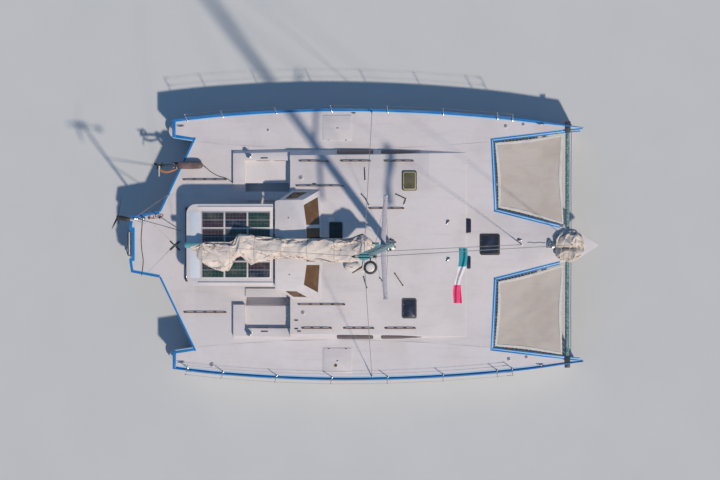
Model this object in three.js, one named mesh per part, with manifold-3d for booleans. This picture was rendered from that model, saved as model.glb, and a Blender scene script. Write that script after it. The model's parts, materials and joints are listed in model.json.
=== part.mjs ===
// Sailing catamaran, about 16.8 m over all, afloat with its sails lowered.
// Millimetres. +X is the bow, +Y is port, +Z is up, and z = 0 is the waterline.
import * as THREE from "three";
import { mergeVertices } from "three/addons/utils/BufferGeometryUtils.js";
import Module from "manifold-3d";

const wasm = await Module();
wasm.setup();

// Driving heights and places of the whole boat.
const GAP = 0.3;
const DECK = 1600;
const HULL_Y = 4120;
const HULL_DRAFT = -620;
const KEEL_DRAFT = -1250;
const WING_BOTTOM = 640;
const SOLE = 800;
const SIDE_SOLE = 1150;

// Hull sections from stern to bow: place along the boat, outer and inner deck edge,
// half breadth at the waterline and depth of the round bottom.
const HULL_SECTIONS = [
  { x: -7190, out: 4470, inn: 3820, half: 270, bottom: -90 },
  { x: -6390, out: 4570, inn: 3700, half: 370, bottom: -230 },
  { x: -5370, out: 4670, inn: 3590, half: 460, bottom: -400 },
  { x: -3450, out: 4790, inn: 3460, half: 570, bottom: -570 },
  { x: -1460, out: 4845, inn: 3400, half: 610, bottom: HULL_DRAFT },
  { x: 530, out: 4815, inn: 3420, half: 600, bottom: HULL_DRAFT },
  { x: 2500, out: 4720, inn: 3530, half: 520, bottom: -590 },
  { x: 4250, out: 4580, inn: 3660, half: 380, bottom: -530 },
  { x: 5600, out: 4430, inn: 3830, half: 240, bottom: -480 },
  { x: 6600, out: 4280, inn: 3990, half: 120, bottom: -430 },
  { x: 7180, out: 4190, inn: 4060, half: 55, bottom: -390 },
  { x: 7500, out: 4140, inn: 4100, half: 18, bottom: -360 },
];
const HULL_LEVELS = [1, 0.62, 0.3, 0.08];
const HULL_FLARE = 900;
const BOTTOM_STEPS = 5;
const STEM = { start: 5600, end: 7500, rake: 0.16 };
const TRANSOM = { start: -7000, rake: 0.12 };
const SWIM_STEP = { x: -7230, y: 4130, radius: 285, z: 430, thick: 90, fore: -6900 };
const CLEATS = [
  { x: 5950, y: 4265 },
  { x: -6880, y: 4230 },
];
const CLEAT = { long: 135, wide: 18, low: 52, high: 80 };

// Keels, rudders and sail drives.
const KEEL = { aft: -1500, fore: 1300, lowAft: -1300, lowFore: 700, top: -560, wide: 230 };
const RUDDER = { x: -6350, boss: -270, top: -330, low: -1120, aft: 330, fore: 150, wide: 66, stock: 32 };
const DRIVE = { x: -3300, top: -540, low: -1000, shaft: -900, aft: 120, fore: 160, pod: 62, wide: 90 };
const SCREW = { x: -3480, radius: 230, hub: 48, chord: 105, thick: 22, pitch: 0.55, blades: 3 };

// Deck between the hulls, its wells and its sloping underside.
const DIAGONAL_AFT = { x: -7660, y: 1190 };
const DIAGONAL_FORE = { x: -6390, y: 3830 };
const FRONT_OUTER = { x: 4250, y: 3680 };
const FRONT_INNER = { x: 4370, y: 1205 };
const COCKPIT = { aft: -6380, fore: -3420, half: 1230 };
const SALOON = { aft: -3290, fore: 160, half: 1480, top: 1880, skylight: -2300 };
const SIDE_WELL = { open: -5100, aft: -4573, fore: -2918, inner: 1600, block: 2150, outer: 2990 };
const FOOT_WELL = { aft: -4560, fore: -2989, inner: 1886, outer: 2189 };
const COAMING = { aft: -5100, fore: -2931, inner: 2130, outer: 3600, top: 1780 };
const LEDGE = { aft: -4555, inner: 1575, outer: 1880, high: 70 };
const BENCH_TOP = 1230;
const BENCHES = [
  { aft: -6100, fore: -4500, y0: 780, y1: 1230 },
  { aft: -6100, fore: -3900, y0: -1230, y1: -780 },
];
const SLOPE_AFT = [[-7900, 500], [-6450, 500], [-7700, 1250], [-7900, 1250]];
const SLOPE_FORE = [[4500, 500], [2600, 500], [4300, 930], [4500, 930]];
const PLATFORM = { aft: -8755, half: 1000, thick: 230, notch: 540, notchDepth: 140, rake: 70 };
const SPINE = [
  { x: 4300, half: 1205, low: 1000, bottom: 900 },
  { x: 6900, half: 585, low: 380, bottom: 1120 },
  { x: 7200, half: 545, low: 330, bottom: 1180 },
  { x: 7990, half: 25, low: 15, bottom: 1430 },
];
const SPINE_EDGE = 120;

// Raised coachroof and coamings: deck edge, top edge and height of the top edge.
const ROOF_SECTIONS = [
  { x: -4982, base: 3363, top: 3150, z: 1950 },
  { x: -2900, base: 3390, top: 3170, z: 1995 },
  { x: 0, base: 3385, top: 3190, z: 1925 },
  { x: 2000, base: 3330, top: 3235, z: 1760 },
  { x: 3310, base: 3270, top: 3262, z: 1612 },
];
const ROOF_CAMBER = 30;

// Pilothouse: plan corners of the port side from aft to fore, at the foot and at the roof, and
// the way in which each corner moves for the inner face of the wall.
const HOUSE = [
  { foot: [-3400, 1560], head: [-3400, 1500], inward: [0, -1] },
  { foot: [-2960, 1570], head: [-3390, 1502], inward: [0.7, -1] },
  { foot: [-2840, 1920], head: [-3280, 1540], inward: [0.7, -1] },
  { foot: [-1860, 1930], head: [-2450, 1560], inward: [-0.95, -1] },
  { foot: [-1785, 660], head: [-2330, 640], inward: [-1, 0] },
];
const HOUSE_WALL = 45;
const HOUSE_BASE = 2026;
const HOUSE_TOP = 2620;
const HOUSE_SKIRT = 160;
const HOUSE_ROOF = { thick: 50, eave: 35, corners: [0, 2, 3, 4] };
const HOUSE_MIDDLE = [-2700, 0, 2000];
const DOOR = { half: 340, lap: 40, low: SOLE + 20, high: 2560, thick: 40 };

// Panes, each between two plan corners (index, side): margins from the first and the second
// corner, and the lower and upper edge as shares of the wall's height.
const PANES = [
  { name: "side_port", a: [2, 1], b: [3, 1], from: 120, to: 330, low: 0.18, high: 0.78 },
  { name: "front_port", a: [3, 1], b: [4, 1], from: 190, to: 60, low: 0.13, high: 0.92 },
  { name: "front_centre", a: [4, 1], b: [4, -1], from: 60, to: 60, low: 0.13, high: 0.92 },
  { name: "front_starboard", a: [4, -1], b: [3, -1], from: 60, to: 190, low: 0.13, high: 0.92 },
  { name: "side_starboard", a: [3, -1], b: [2, -1], from: 330, to: 120, low: 0.18, high: 0.78 },
];
const PANE = { sunk: 14, thick: 22, cutOut: 30, cutIn: 90 };

// Hard top over the cockpit, its posts and its solar panels.
const HARDTOP = { aft: -6523, fore: -3460, half: 1440, z: 2630, thick: 55, round: 330, steps: 5 };
const LIP = { aft: -6100, y: 1330, wide: 50, high: 95 };
const POSTS = [-6150, -5000, -3650];
const POST = { y: 1340, radius: 24, beam: 44, aft: -6250, fore: -3600 };
const PANELS = { aft: -5980, fore: -3540, half: 1170, thick: 38, tray: 12, columns: 3, rows: 4, gap: 34 };

// Mast, boom, sails and standing rigging.
const MAST = { x: 569, long: 300, wide: 190, foot: 1930, top: 19000, step: 190, crane: 330 };
const SPREADER = { z: 6900, half: 1670, forward: 90, radius: 32 };
const DIAMOND = { low: 2400, high: 13200, radius: 6 };
const BOOM = { z: 3000, aft: -6520, radius: 100, eye: 45, plate: 16 };
const BOOM_PIVOT = MAST.x - MAST.long / 2 - 60;
const CHAINPLATE = { x: -30, y: 4700, high: 110 };
const FORESTAY = { foot: [7150, 0, DECK + 60], head: [MAST.x + 300, 0, MAST.top - 61] };
const INNER_STAY = { foot: [5270, 0, DECK + 60], head: [MAST.x + 60, 0, DIAMOND.high] };
const STAY_RADIUS = 9;

// Heaps of lowered sail: place along the boat, middle and half width across, and height.
const MAINSAIL = [
  { x: -6300, mid: -60, half: 90, high: 130 },
  { x: -5910, mid: -300, half: 240, high: 210 },
  { x: -5590, mid: -390, half: 380, high: 240 },
  { x: -5140, mid: -400, half: 450, high: 240 },
  { x: -4760, mid: -180, half: 340, high: 240 },
  { x: -4410, mid: -80, half: 440, high: 250 },
  { x: -3940, mid: -120, half: 430, high: 250 },
  { x: -3300, mid: -85, half: 345, high: 250 },
  { x: -2020, mid: -60, half: 390, high: 280 },
  { x: -1010, mid: -30, half: 380, high: 420 },
  { x: -300, mid: 0, half: 360, high: 560 },
  { x: 150, mid: 0, half: 120, high: 520 },
];
const HEADSAIL = [
  { x: 6445, mid: -40, half: 160, high: 130 },
  { x: 6640, mid: -40, half: 430, high: 330 },
  { x: 6950, mid: -40, half: 560, high: 450 },
  { x: 7200, mid: -40, half: 530, high: 480 },
  { x: 7400, mid: -20, half: 330, high: 330 },
  { x: 7520, mid: 0, half: 110, high: 130 },
];
const HEAP_STEPS = 8;

// Deck edge gear, forebeam and trampolines.
const TOE_RAIL = { wide: 55, high: 55 };
const STANCHIONS = [-6650, -5370, -3450, -1470, 530, 2500, 4410, 4950];
const STANCHION = { high: 620, radius: 13, foot: 100, lean: 180, socket: 70, wire: 5 };
const FOREBEAM = { x: 6900, z: 1500, radius: 75, inner: 500, outer: 4100 };
const NET = { z: 1540, thick: 12, under: 400 };

// Lids: a flat one lies on the deck, and one on the roof follows the coachroof.
const LIDS = [
  { name: "hatch_foredeck", x0: 3810, x1: 4510, y0: -370, y1: 370, thick: 45, paint: "dark" },
  { name: "locker_lid_port", x0: -1780, x1: -750, y0: 3700, y1: 4600, thick: 26, paint: "white" },
  { name: "locker_lid_starboard", x0: -1780, x1: -750, y0: -4600, y1: -3700, thick: 26, paint: "white" },
  { name: "hatch_port", x0: 1050, x1: 1566, y0: 1915, y1: 2616, thick: 45, roof: true, paint: "dark" },
  { name: "hatch_starboard", x0: 1050, x1: 1566, y0: -2616, y1: -1915, thick: 45, roof: true, paint: "dark" },
];

// Deck machinery and gear.
const WHEEL = { x: -3700, y: 790, z: 1700, radius: 330, rim: 16, hub: 40, spokes: 5 };
const CONSOLE = { aft: -3640, half: 160 };
const WINCH = { x: -4410, y: 3165, base: 1795, pad: 90 };
const WINCH_PROFILE = [[0, 0], [95, 0], [85, 38], [62, 78], [62, 138], [78, 178], [0, 178]];
const WINDLASS = { aft: 6150, fore: 6430, half: 110, high: 90, drum: 75, reach: 170 };
const TRAVELLER = { aft: -6710, fore: -6590, half: 1330, low: 60, high: 150, feet: [-1250, 0, 1250] };
const CRUTCH = { x: -7100, y: -50, long: 480, wide: 55, thick: 40, turn: 0.75 };
const WIND = { x: -8250, y: 930, hub: 5100, yaw: 0.22, pod: 190, radius: 680, neck: 110, tail: 640 };
const BRACES = [
  { top: 3300, foot: [-7330, 1790] },
  { top: 2900, foot: [-6860, 480] },
];
const LADDER = { half: 440, hinge: [-8700, 1545], foot: [-9230, -480], rungs: 6, tread: 45, topTread: 80 };
const OUTBOARD = { x: -7150, z: 1730, y: 2830, end: -7800, half: 125, cowlAft: -6980, cowlFore: -6090 };
const OUTBOARD_SCREW = { x: -7670, low: 170, high: 262, hub: 34, radius: 150, blades: 3 };
const BRACKET = { out: 95, half: 18, low: 260, high: 60, beam: 50 };

const PAINT = {
  white: { color: 0xd8d4da, roughness: 0.45, metalness: 0 },
  blue: { color: 0x1670b8, roughness: 0.4, metalness: 0 },
  antifoul: { color: 0x24466b, roughness: 0.8, metalness: 0 },
  steel: { color: 0xb8bcc0, roughness: 0.25, metalness: 1 },
  alloy: { color: 0x8fa3a8, roughness: 0.4, metalness: 0.7 },
  glass: { color: 0x5a4c3e, roughness: 0.1, metalness: 0 },
  dark: { color: 0x2c3038, roughness: 0.4, metalness: 0 },
  panel: { color: 0x141a2c, roughness: 0.2, metalness: 0.2 },
  cloth: { color: 0xd6ccc2, roughness: 0.95, metalness: 0 },
  net: { color: 0xb5b0a8, roughness: 0.95, metalness: 0 },
  wood: { color: 0x7a6350, roughness: 0.8, metalness: 0 },
  canvas: { color: 0x6e6262, roughness: 0.9, metalness: 0 },
  bronze: { color: 0x9a6a35, roughness: 0.4, metalness: 0.9 },
};
const SIDES = [
  { name: "port", s: 1 },
  { name: "starboard", s: -1 },
];

const boat = new THREE.Group();

// Turns closed geometry into a solid for joining and cutting.
function solid(geometry) {
  const bare = geometry.index ? geometry.toNonIndexed() : geometry.clone();
  bare.deleteAttribute("normal");
  bare.deleteAttribute("uv");
  const merged = mergeVertices(bare, 1e-3);
  return new wasm.Manifold(
    new wasm.Mesh({
      numProp: 3,
      vertProperties: merged.attributes.position.array,
      triVerts: new Uint32Array(merged.index.array),
    }),
  );
}

// Turns a solid back into three.js geometry.
function shape(manifold) {
  const mesh = manifold.getMesh();
  const geometry = new THREE.BufferGeometry();
  geometry.setAttribute("position", new THREE.BufferAttribute(mesh.vertProperties, 3));
  geometry.setIndex(new THREE.BufferAttribute(mesh.triVerts, 1));
  geometry.computeVertexNormals();
  return geometry;
}

function join(parts) {
  return parts.slice(1).reduce((whole, part) => whole.add(part), parts[0]);
}

function cut(whole, parts) {
  return parts.reduce((left, part) => left.subtract(part), whole);
}

// Adds one named piece to the boat.
function add(name, manifold, paint) {
  const mesh = new THREE.Mesh(shape(manifold), new THREE.MeshStandardMaterial(PAINT[paint]));
  mesh.name = name;
  boat.add(mesh);
}

function box(x0, x1, y0, y1, z0, z1) {
  const geometry = new THREE.BoxGeometry(x1 - x0, y1 - y0, z1 - z0);
  geometry.translate((x0 + x1) / 2, (y0 + y1) / 2, (z0 + z1) / 2);
  return solid(geometry);
}

// A box on one side of the boat, between two distances from the centreline.
function sideBox(s, x0, x1, near, far, z0, z1) {
  return box(x0, x1, Math.min(s * near, s * far), Math.max(s * near, s * far), z0, z1);
}

// Extrudes a plan outline of [x, y] points from z0 up to z1.
function prism(points, z0, z1) {
  const outline = new THREE.Shape(points.map(([x, y]) => new THREE.Vector2(x, y)));
  const geometry = new THREE.ExtrudeGeometry(outline, { depth: z1 - z0, bevelEnabled: false });
  geometry.translate(0, 0, z0);
  return solid(geometry);
}

// Extrudes a side profile of [x, z] points across the boat from y0 to y1.
function sideProfile(points, y0, y1) {
  const outline = new THREE.Shape(points.map(([x, z]) => new THREE.Vector2(x, z)));
  const geometry = new THREE.ExtrudeGeometry(outline, { depth: y1 - y0, bevelEnabled: false });
  geometry.rotateX(Math.PI / 2);
  geometry.translate(0, y1, 0);
  return solid(geometry);
}

// A closed skin over rings of [x, y, z] points, each ring with the same count.
function loft(rings) {
  const count = rings[0].length;
  const index = [];
  for (let r = 0; r + 1 < rings.length; r++)
    for (let i = 0; i < count; i++) {
      const a = r * count + i;
      const b = r * count + ((i + 1) % count);
      index.push(a, b, a + count, b, b + count, a + count);
    }
  const flat = rings.flat();
  const last = (rings.length - 1) * count;
  const middle = (ring) => ring.reduce((sum, p) => sum.map((v, k) => v + p[k] / count), [0, 0, 0]);
  flat.push(middle(rings[0]), middle(rings[rings.length - 1]));
  for (let i = 0; i < count; i++) {
    const next = (i + 1) % count;
    index.push(next, i, flat.length - 2, last + i, last + next, flat.length - 1);
  }
  const geometry = new THREE.BufferGeometry();
  geometry.setAttribute("position", new THREE.Float32BufferAttribute(flat.flat(), 3));
  geometry.setIndex(index);
  const made = solid(geometry);
  if (made.volume() > 0) return made;
  geometry.setIndex(index.map((_, i) => index[i - (i % 3) + 2 - (i % 3)]));
  return solid(geometry);
}

// A round rod between two points.
function rod(from, to, radius, sides = 8) {
  const a = new THREE.Vector3(...from);
  const b = new THREE.Vector3(...to);
  const geometry = new THREE.CylinderGeometry(radius, radius, a.distanceTo(b), sides);
  const along = b.clone().sub(a).normalize();
  geometry.applyQuaternion(new THREE.Quaternion().setFromUnitVectors(new THREE.Vector3(0, 1, 0), along));
  const middle = a.add(b).multiplyScalar(0.5);
  geometry.translate(middle.x, middle.y, middle.z);
  return solid(geometry);
}

// A turned piece on an upright axis, from [radius, z] points that start and end on the axis.
function turned(profile, x, y, sides = 16) {
  const geometry = new THREE.LatheGeometry(profile.map(([r, z]) => new THREE.Vector2(r, z)), sides);
  geometry.rotateX(Math.PI / 2);
  geometry.translate(x, y, 0);
  return solid(geometry);
}

// Both sides of a symmetric outline whose port half is listed from aft to fore.
function both(half) {
  const starboard = half.map(([x, y]) => [x, -y]).reverse();
  return [...half, ...starboard];
}

// Half breadth of a hull section at height z.
function hullHalf(section, z) {
  const deckHalf = (section.out - section.inn) / 2;
  const rise = Math.min(1, Math.max(0, z) / HULL_FLARE);
  return section.half + (deckHalf - section.half) * Math.sin((rise * Math.PI) / 2);
}

// One ring of a hull: down the outside, round the bottom and up the inside.
function hullRing(section, side, grow) {
  const centre = (section.out + section.inn) / 2;
  const stem = Math.max(0, (section.x - STEM.start) / (STEM.end - STEM.start));
  const stern = section.x < TRANSOM.start ? 1 : 0;
  const half = [];
  for (const level of HULL_LEVELS) half.push([hullHalf(section, level * DECK), level * DECK]);
  for (let i = 0; i <= BOTTOM_STEPS; i++) {
    const turn = (i / BOTTOM_STEPS) * (Math.PI / 2);
    const width = section.half * Math.max(0.02, Math.cos(turn) ** 0.75);
    half.push([width, (section.bottom - grow) * Math.sin(turn)]);
  }
  const place = ([h, z], sign) => [
    section.x + stem * STEM.rake * (z - DECK) + stern * (TRANSOM.rake * (DECK - z) - grow),
    side * (centre + sign * (h + grow)),
    z + (z === DECK ? grow : 0),
  ];
  const outer = half.map((p) => place(p, 1));
  const inner = half.map((p) => place(p, -1)).reverse();
  return [...outer, ...inner];
}

function hullBody(side, grow) {
  return loft(HULL_SECTIONS.map((section) => hullRing(section, side, grow)));
}

// Mooring cleat standing on a hull's deck.
function cleat(x, y) {
  const { long, wide, low, high } = CLEAT;
  return join([
    box(x - 45, x + 45, y - wide - 8, y + wide + 8, DECK - 10, DECK + 12),
    box(x - 35, x + 35, y - wide + 4, y + wide - 4, DECK, DECK + low + 4),
    box(x - long, x + long, y - wide, y + wide, DECK + low, DECK + high),
  ]);
}

// Hulls, each with its keel, sail drive, cleats, rudder bearing and a half-round swim step.
function hulls() {
  for (const { name, s } of SIDES) {
    const y = s * SWIM_STEP.y;
    const out = SWIM_STEP.radius;
    const points = [];
    for (let i = 0; i <= 10; i++) {
      const turn = Math.PI / 2 + (i / 10) * Math.PI;
      points.push([SWIM_STEP.x + out * Math.cos(turn), y + out * Math.sin(turn)]);
    }
    points.push([SWIM_STEP.fore, y - out + 15], [SWIM_STEP.fore, y + out - 15]);
    const step = prism(points, SWIM_STEP.z - SWIM_STEP.thick, SWIM_STEP.z);
    const bearing = rod([RUDDER.x, s * HULL_Y, RUDDER.boss], [RUDDER.x, s * HULL_Y, -100], 60, 16);
    const cleats = CLEATS.map((place) => cleat(place.x, s * place.y));
    add(`hull_${name}`, join([hullBody(s, 0), keel(s), driveLeg(s), step, bearing, ...cleats]), "white");
  }
}

// Deep stub keel of one hull.
function keel(s) {
  const profile = [
    [KEEL.aft, KEEL.top],
    [KEEL.lowAft, KEEL_DRAFT],
    [KEEL.lowFore, KEEL_DRAFT],
    [KEEL.fore, KEEL.top],
  ];
  return sideProfile(profile, s * HULL_Y - KEEL.wide / 2, s * HULL_Y + KEEL.wide / 2);
}

// Spade rudders on upright stocks.
function rudders() {
  const profile = [
    [RUDDER.x - RUDDER.aft, RUDDER.top],
    [RUDDER.x - 0.75 * RUDDER.aft, RUDDER.low],
    [RUDDER.x + 0.6 * RUDDER.fore, RUDDER.low],
    [RUDDER.x + RUDDER.fore, RUDDER.top],
  ];
  for (const { name, s } of SIDES) {
    const y = s * HULL_Y;
    const blade = sideProfile(profile, y - RUDDER.wide / 2, y + RUDDER.wide / 2);
    const foot = [RUDDER.x, y, RUDDER.top - 50];
    const stock = rod(foot, [RUDDER.x, y, RUDDER.boss - GAP], RUDDER.stock, 16);
    add(`rudder_${name}`, join([blade, stock]), "antifoul");
  }
}

// Leg and pod of one sail drive under a hull.
function driveLeg(s) {
  const profile = [
    [DRIVE.x - 130, DRIVE.top],
    [DRIVE.x - 90, DRIVE.low],
    [DRIVE.x + 120, DRIVE.low],
    [DRIVE.x + 150, DRIVE.top],
  ];
  const y = s * HULL_Y;
  const leg = sideProfile(profile, y - DRIVE.wide / 2, y + DRIVE.wide / 2);
  const podFore = DRIVE.x + DRIVE.fore;
  const pod = rod([DRIVE.x - DRIVE.aft, y, DRIVE.shaft], [podFore, y, DRIVE.shaft], DRIVE.pod, 14);
  return join([leg, pod]);
}

// Three-bladed propellers behind the sail drives.
function propellers() {
  const podAft = DRIVE.x - DRIVE.aft;
  for (const { name, s } of SIDES) {
    const y = s * HULL_Y;
    const parts = [rod([SCREW.x - 45, y, DRIVE.shaft], [podAft - GAP, y, DRIVE.shaft], SCREW.hub, 14)];
    for (let i = 0; i < SCREW.blades; i++) {
      const blade = new THREE.BoxGeometry(SCREW.thick, SCREW.chord, SCREW.radius - 30);
      blade.translate(0, 0, (SCREW.radius + 30) / 2);
      blade.rotateZ(SCREW.pitch);
      blade.rotateX((i * 2 * Math.PI) / SCREW.blades);
      blade.translate(SCREW.x, y, DRIVE.shaft);
      parts.push(solid(blade));
    }
    add(`propeller_${name}`, join(parts), "bronze");
  }
}

// Deck slab between the hulls, its underside sloping up at both ends.
function wingDeck() {
  const outline = both([
    [DIAGONAL_AFT.x, DIAGONAL_AFT.y],
    [DIAGONAL_FORE.x, DIAGONAL_FORE.y],
    [DIAGONAL_FORE.x + 700, HULL_Y],
    [FRONT_OUTER.x, HULL_Y - 200],
    [FRONT_OUTER.x, FRONT_OUTER.y],
    [FRONT_INNER.x, FRONT_INNER.y],
  ]);
  const away = [sideProfile(SLOPE_AFT, -5000, 5000), sideProfile(SLOPE_FORE, -5000, 5000)];
  for (const { s } of SIDES) {
    away.push(hullBody(s, GAP));
    away.push(sideBox(s, -8000, 8000, HULL_Y, 6000, 0, 3000));
  }
  return cut(prism(outline, WING_BOTTOM, DECK), away);
}

// Plan of the floor panel under cockpit and saloon, grown by grow mm, between two heights.
function floorPlan(grow, low, high) {
  return join([
    box(COCKPIT.aft - grow, COCKPIT.fore, -COCKPIT.half - grow, COCKPIT.half + grow, low, high),
    box(COCKPIT.fore - grow, SALOON.fore + grow, -SALOON.half - grow, SALOON.half + grow, low, high),
  ]);
}

// Floor of cockpit and saloon with the cockpit's two benches.
function bridgedeck() {
  const benches = BENCHES.map((b) => box(b.aft, b.fore, b.y0, b.y1, SOLE - 20, BENCH_TOP));
  add("bridgedeck", join([floorPlan(0, WING_BOTTOM, SOLE), ...benches]), "white");
}

// Cross wall between cockpit and saloon, with its doorway over a low sill and the steering console.
function bulkhead() {
  const { y, z } = WHEEL;
  const low = SOLE + GAP;
  const wall = box(COCKPIT.fore, SALOON.aft, -SALOON.half, SALOON.half, low, DECK);
  const doorway = box(COCKPIT.fore - 10, SALOON.aft + 10, -DOOR.half, DOOR.half, SOLE + 12, DECK + 10);
  const console = box(CONSOLE.aft, COCKPIT.fore + 20, y - CONSOLE.half, y + CONSOLE.half, low, DECK);
  const top = box(CONSOLE.aft, COCKPIT.fore, y - CONSOLE.half, y + CONSOLE.half, DECK - 20, z + 60);
  add("saloon_bulkhead", join([cut(wall, [doorway]), console, top]), "white");
}

// Aft platform behind the diagonals, with a notch for the ladder.
function aftPlatform() {
  const outline = both([
    [PLATFORM.aft + PLATFORM.notchDepth, PLATFORM.notch],
    [PLATFORM.aft, PLATFORM.notch],
    [PLATFORM.aft + PLATFORM.rake, PLATFORM.half],
    [DIAGONAL_AFT.x, DIAGONAL_AFT.y],
    [DIAGONAL_AFT.x + 50, DIAGONAL_AFT.y],
  ]);
  return prism(outline, DECK - PLATFORM.thick, DECK);
}

// Deck panels: the floor and its cross wall, aft deck, foredeck with its spine, and on each side one
// panel beside the cockpit with its foot well and one under the house.
function decks() {
  bridgedeck();
  bulkhead();
  const slab = wingDeck();
  const part = (x0, x1) => slab.intersect(box(x0, x1, -5000, 5000, 0, 2000));
  add("aft_deck", join([part(-9000, COCKPIT.aft - GAP), aftPlatform()]), "white");
  add("foredeck", join([part(SALOON.fore + GAP, 9000), spineForm(0)]), "white");
  const floor = floorPlan(GAP, 0, 2000);
  const { aft, fore, inner, outer } = FOOT_WELL;
  for (const { name, s } of SIDES) {
    const beside = slab.intersect(sideBox(s, COCKPIT.aft, fore, 1000, 5000, 0, 2000));
    const well = sideBox(s, aft, fore + 50, inner, outer, SIDE_SOLE, DECK + 10);
    add(`side_deck_${name}`, cut(beside, [floor, well]), "white");
    const under = slab.intersect(sideBox(s, fore + GAP, SALOON.fore, 1000, 5000, 0, 2000));
    add(`house_deck_${name}`, cut(under, [floor]), "white");
  }
}

// Tapering spine between the trampolines, ending in the nose, grown by grow mm all round.
function spineForm(grow) {
  const rings = SPINE.map(({ x, half, low, bottom }) => [
    [x, half + grow, DECK + grow],
    [x, half + grow, DECK - SPINE_EDGE],
    [x, low + grow, bottom - grow],
    [x, -low - grow, bottom - grow],
    [x, -half - grow, DECK - SPINE_EDGE],
    [x, -half - grow, DECK + grow],
  ]);
  return loft(rings);
}

// The coachroof's outer form, raised by lift mm, with sloping sides that run down to the foredeck.
function roofForm(lift) {
  const foot = DECK + GAP;
  const rings = ROOF_SECTIONS.map(({ x, base, top, z }) => [
    [x, base, foot],
    [x, base + lift, foot + lift],
    [x, top + lift, z + lift],
    [x, top / 2, z + lift + ROOF_CAMBER * 0.75],
    [x, 0, z + lift + ROOF_CAMBER],
    [x, -top / 2, z + lift + ROOF_CAMBER * 0.75],
    [x, -top - lift, z + lift],
    [x, -base - lift, foot + lift],
    [x, -base, foot],
  ]);
  return loft(rings);
}

// Coachroof and cockpit coamings, with the side seats, saloon and cockpit let in.
function coachroof() {
  const low = DECK - 10;
  const high = 2200;
  const { open, aft, fore, inner, block, outer } = SIDE_WELL;
  const wells = [
    box(open, COCKPIT.fore, -inner, inner, low, high),
    box(SALOON.aft, SALOON.fore, -SALOON.half, SALOON.half, low, SALOON.top),
    box(SALOON.aft, SALOON.skylight, -SALOON.half, SALOON.half, low, high),
    box(COCKPIT.fore - 10, SALOON.aft + 10, -DOOR.half, DOOR.half, low, high),
  ];
  for (const { s } of SIDES) {
    wells.push(sideBox(s, open, fore, inner - 20, block, low, high));
    wells.push(sideBox(s, aft, fore, block - 20, outer, low, high));
    wells.push(sideBox(s, COAMING.aft, COAMING.fore, COAMING.inner, COAMING.outer, COAMING.top, high));
  }
  const ledges = SIDES.map(({ s }) =>
    sideBox(s, LEDGE.aft, SIDE_WELL.fore + 5, LEDGE.inner, LEDGE.outer, DECK + GAP, DECK + LEDGE.high),
  );
  add("coachroof", join([cut(roofForm(0), wells), ...ledges]), "white");
}

// Plan ring of the pilothouse at a share of its height, moved inward by inset mm.
function houseRing(share, inset, z) {
  const half = HOUSE.map(({ foot, head, inward }) => [
    foot[0] + (head[0] - foot[0]) * share + inward[0] * inset,
    foot[1] + (head[1] - foot[1]) * share + inward[1] * inset,
  ]);
  return both(half).map(([x, y]) => [x, y, z]);
}

function houseShell(inset, over) {
  return loft([
    houseRing(0, inset, HOUSE_BASE - HOUSE_SKIRT - over),
    houseRing(0, inset, HOUSE_BASE),
    houseRing(1, inset, HOUSE_TOP),
    houseRing(1, inset, HOUSE_TOP + over + 0.01),
  ]);
}

function houseCorner([corner, s], share) {
  const { foot, head } = HOUSE[corner];
  return new THREE.Vector3(
    foot[0] + (head[0] - foot[0]) * share,
    s * (foot[1] + (head[1] - foot[1]) * share),
    HOUSE_BASE + (HOUSE_TOP - HOUSE_BASE) * share,
  );
}

// A slab lying in one wall of the pilothouse, from out mm outside its face to thick mm inside,
// and shrink mm smaller than the pane's opening all round.
function wallSlab(pane, shrink, out, thick) {
  const trim = shrink / (HOUSE_TOP - HOUSE_BASE);
  const corners = [
    houseCorner(pane.a, pane.low + trim),
    houseCorner(pane.b, pane.low + trim),
    houseCorner(pane.b, pane.high - trim),
    houseCorner(pane.a, pane.high - trim),
  ];
  const along = corners[1].clone().sub(corners[0]).normalize();
  const up = corners[3].clone().sub(corners[0]);
  const normal = new THREE.Vector3().crossVectors(along, up).normalize();
  if (normal.dot(new THREE.Vector3(...HOUSE_MIDDLE).sub(corners[0])) > 0) normal.negate();
  const moves = [pane.from + shrink, -pane.to - shrink, -pane.to - shrink, pane.from + shrink];
  const ringPoints = (depth) =>
    corners.map((corner, i) => {
      const p = corner.clone().addScaledVector(along, moves[i]).addScaledVector(normal, depth);
      return [p.x, p.y, p.z];
    });
  return loft([ringPoints(out), ringPoints(-thick)]);
}

// Pilothouse: walls with cut windows, panes, roof and the companionway door.
function pilothouse() {
  const aft = HOUSE[0].foot[0];
  const outer = houseShell(0, 0);
  const holes = PANES.map((pane) => wallSlab(pane, 0, PANE.cutOut, PANE.cutIn));
  const doorway = box(aft - 60, aft + 100, -DOOR.half, DOOR.half, HOUSE_BASE - 300, DOOR.high);
  const back = box(aft, aft + HOUSE_WALL, -HULL_Y, HULL_Y, HOUSE_BASE - 150, HOUSE_TOP).intersect(outer);
  const shell = join([cut(outer, [houseShell(HOUSE_WALL, 5)]), back]);
  add("pilothouse_walls", cut(shell, [...holes, doorway, roofForm(GAP)]), "white");
  for (const pane of PANES)
    add(`pane_${pane.name}`, wallSlab(pane, 2 * GAP, -PANE.sunk, PANE.thick), "glass");
  const eave = HOUSE_ROOF.corners.map((i) => {
    const { head, inward } = HOUSE[i];
    return [head[0] - inward[0] * HOUSE_ROOF.eave, head[1] - inward[1] * HOUSE_ROOF.eave];
  });
  add("pilothouse_roof", prism(both(eave), HOUSE_TOP + GAP, HOUSE_TOP + HOUSE_ROOF.thick), "white");
  const face = COCKPIT.fore - GAP;
  const reach = DOOR.half + DOOR.lap;
  add("companionway_door", box(face - DOOR.thick, face, -reach, reach, DOOR.low, DOOR.high), "dark");
}

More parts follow.
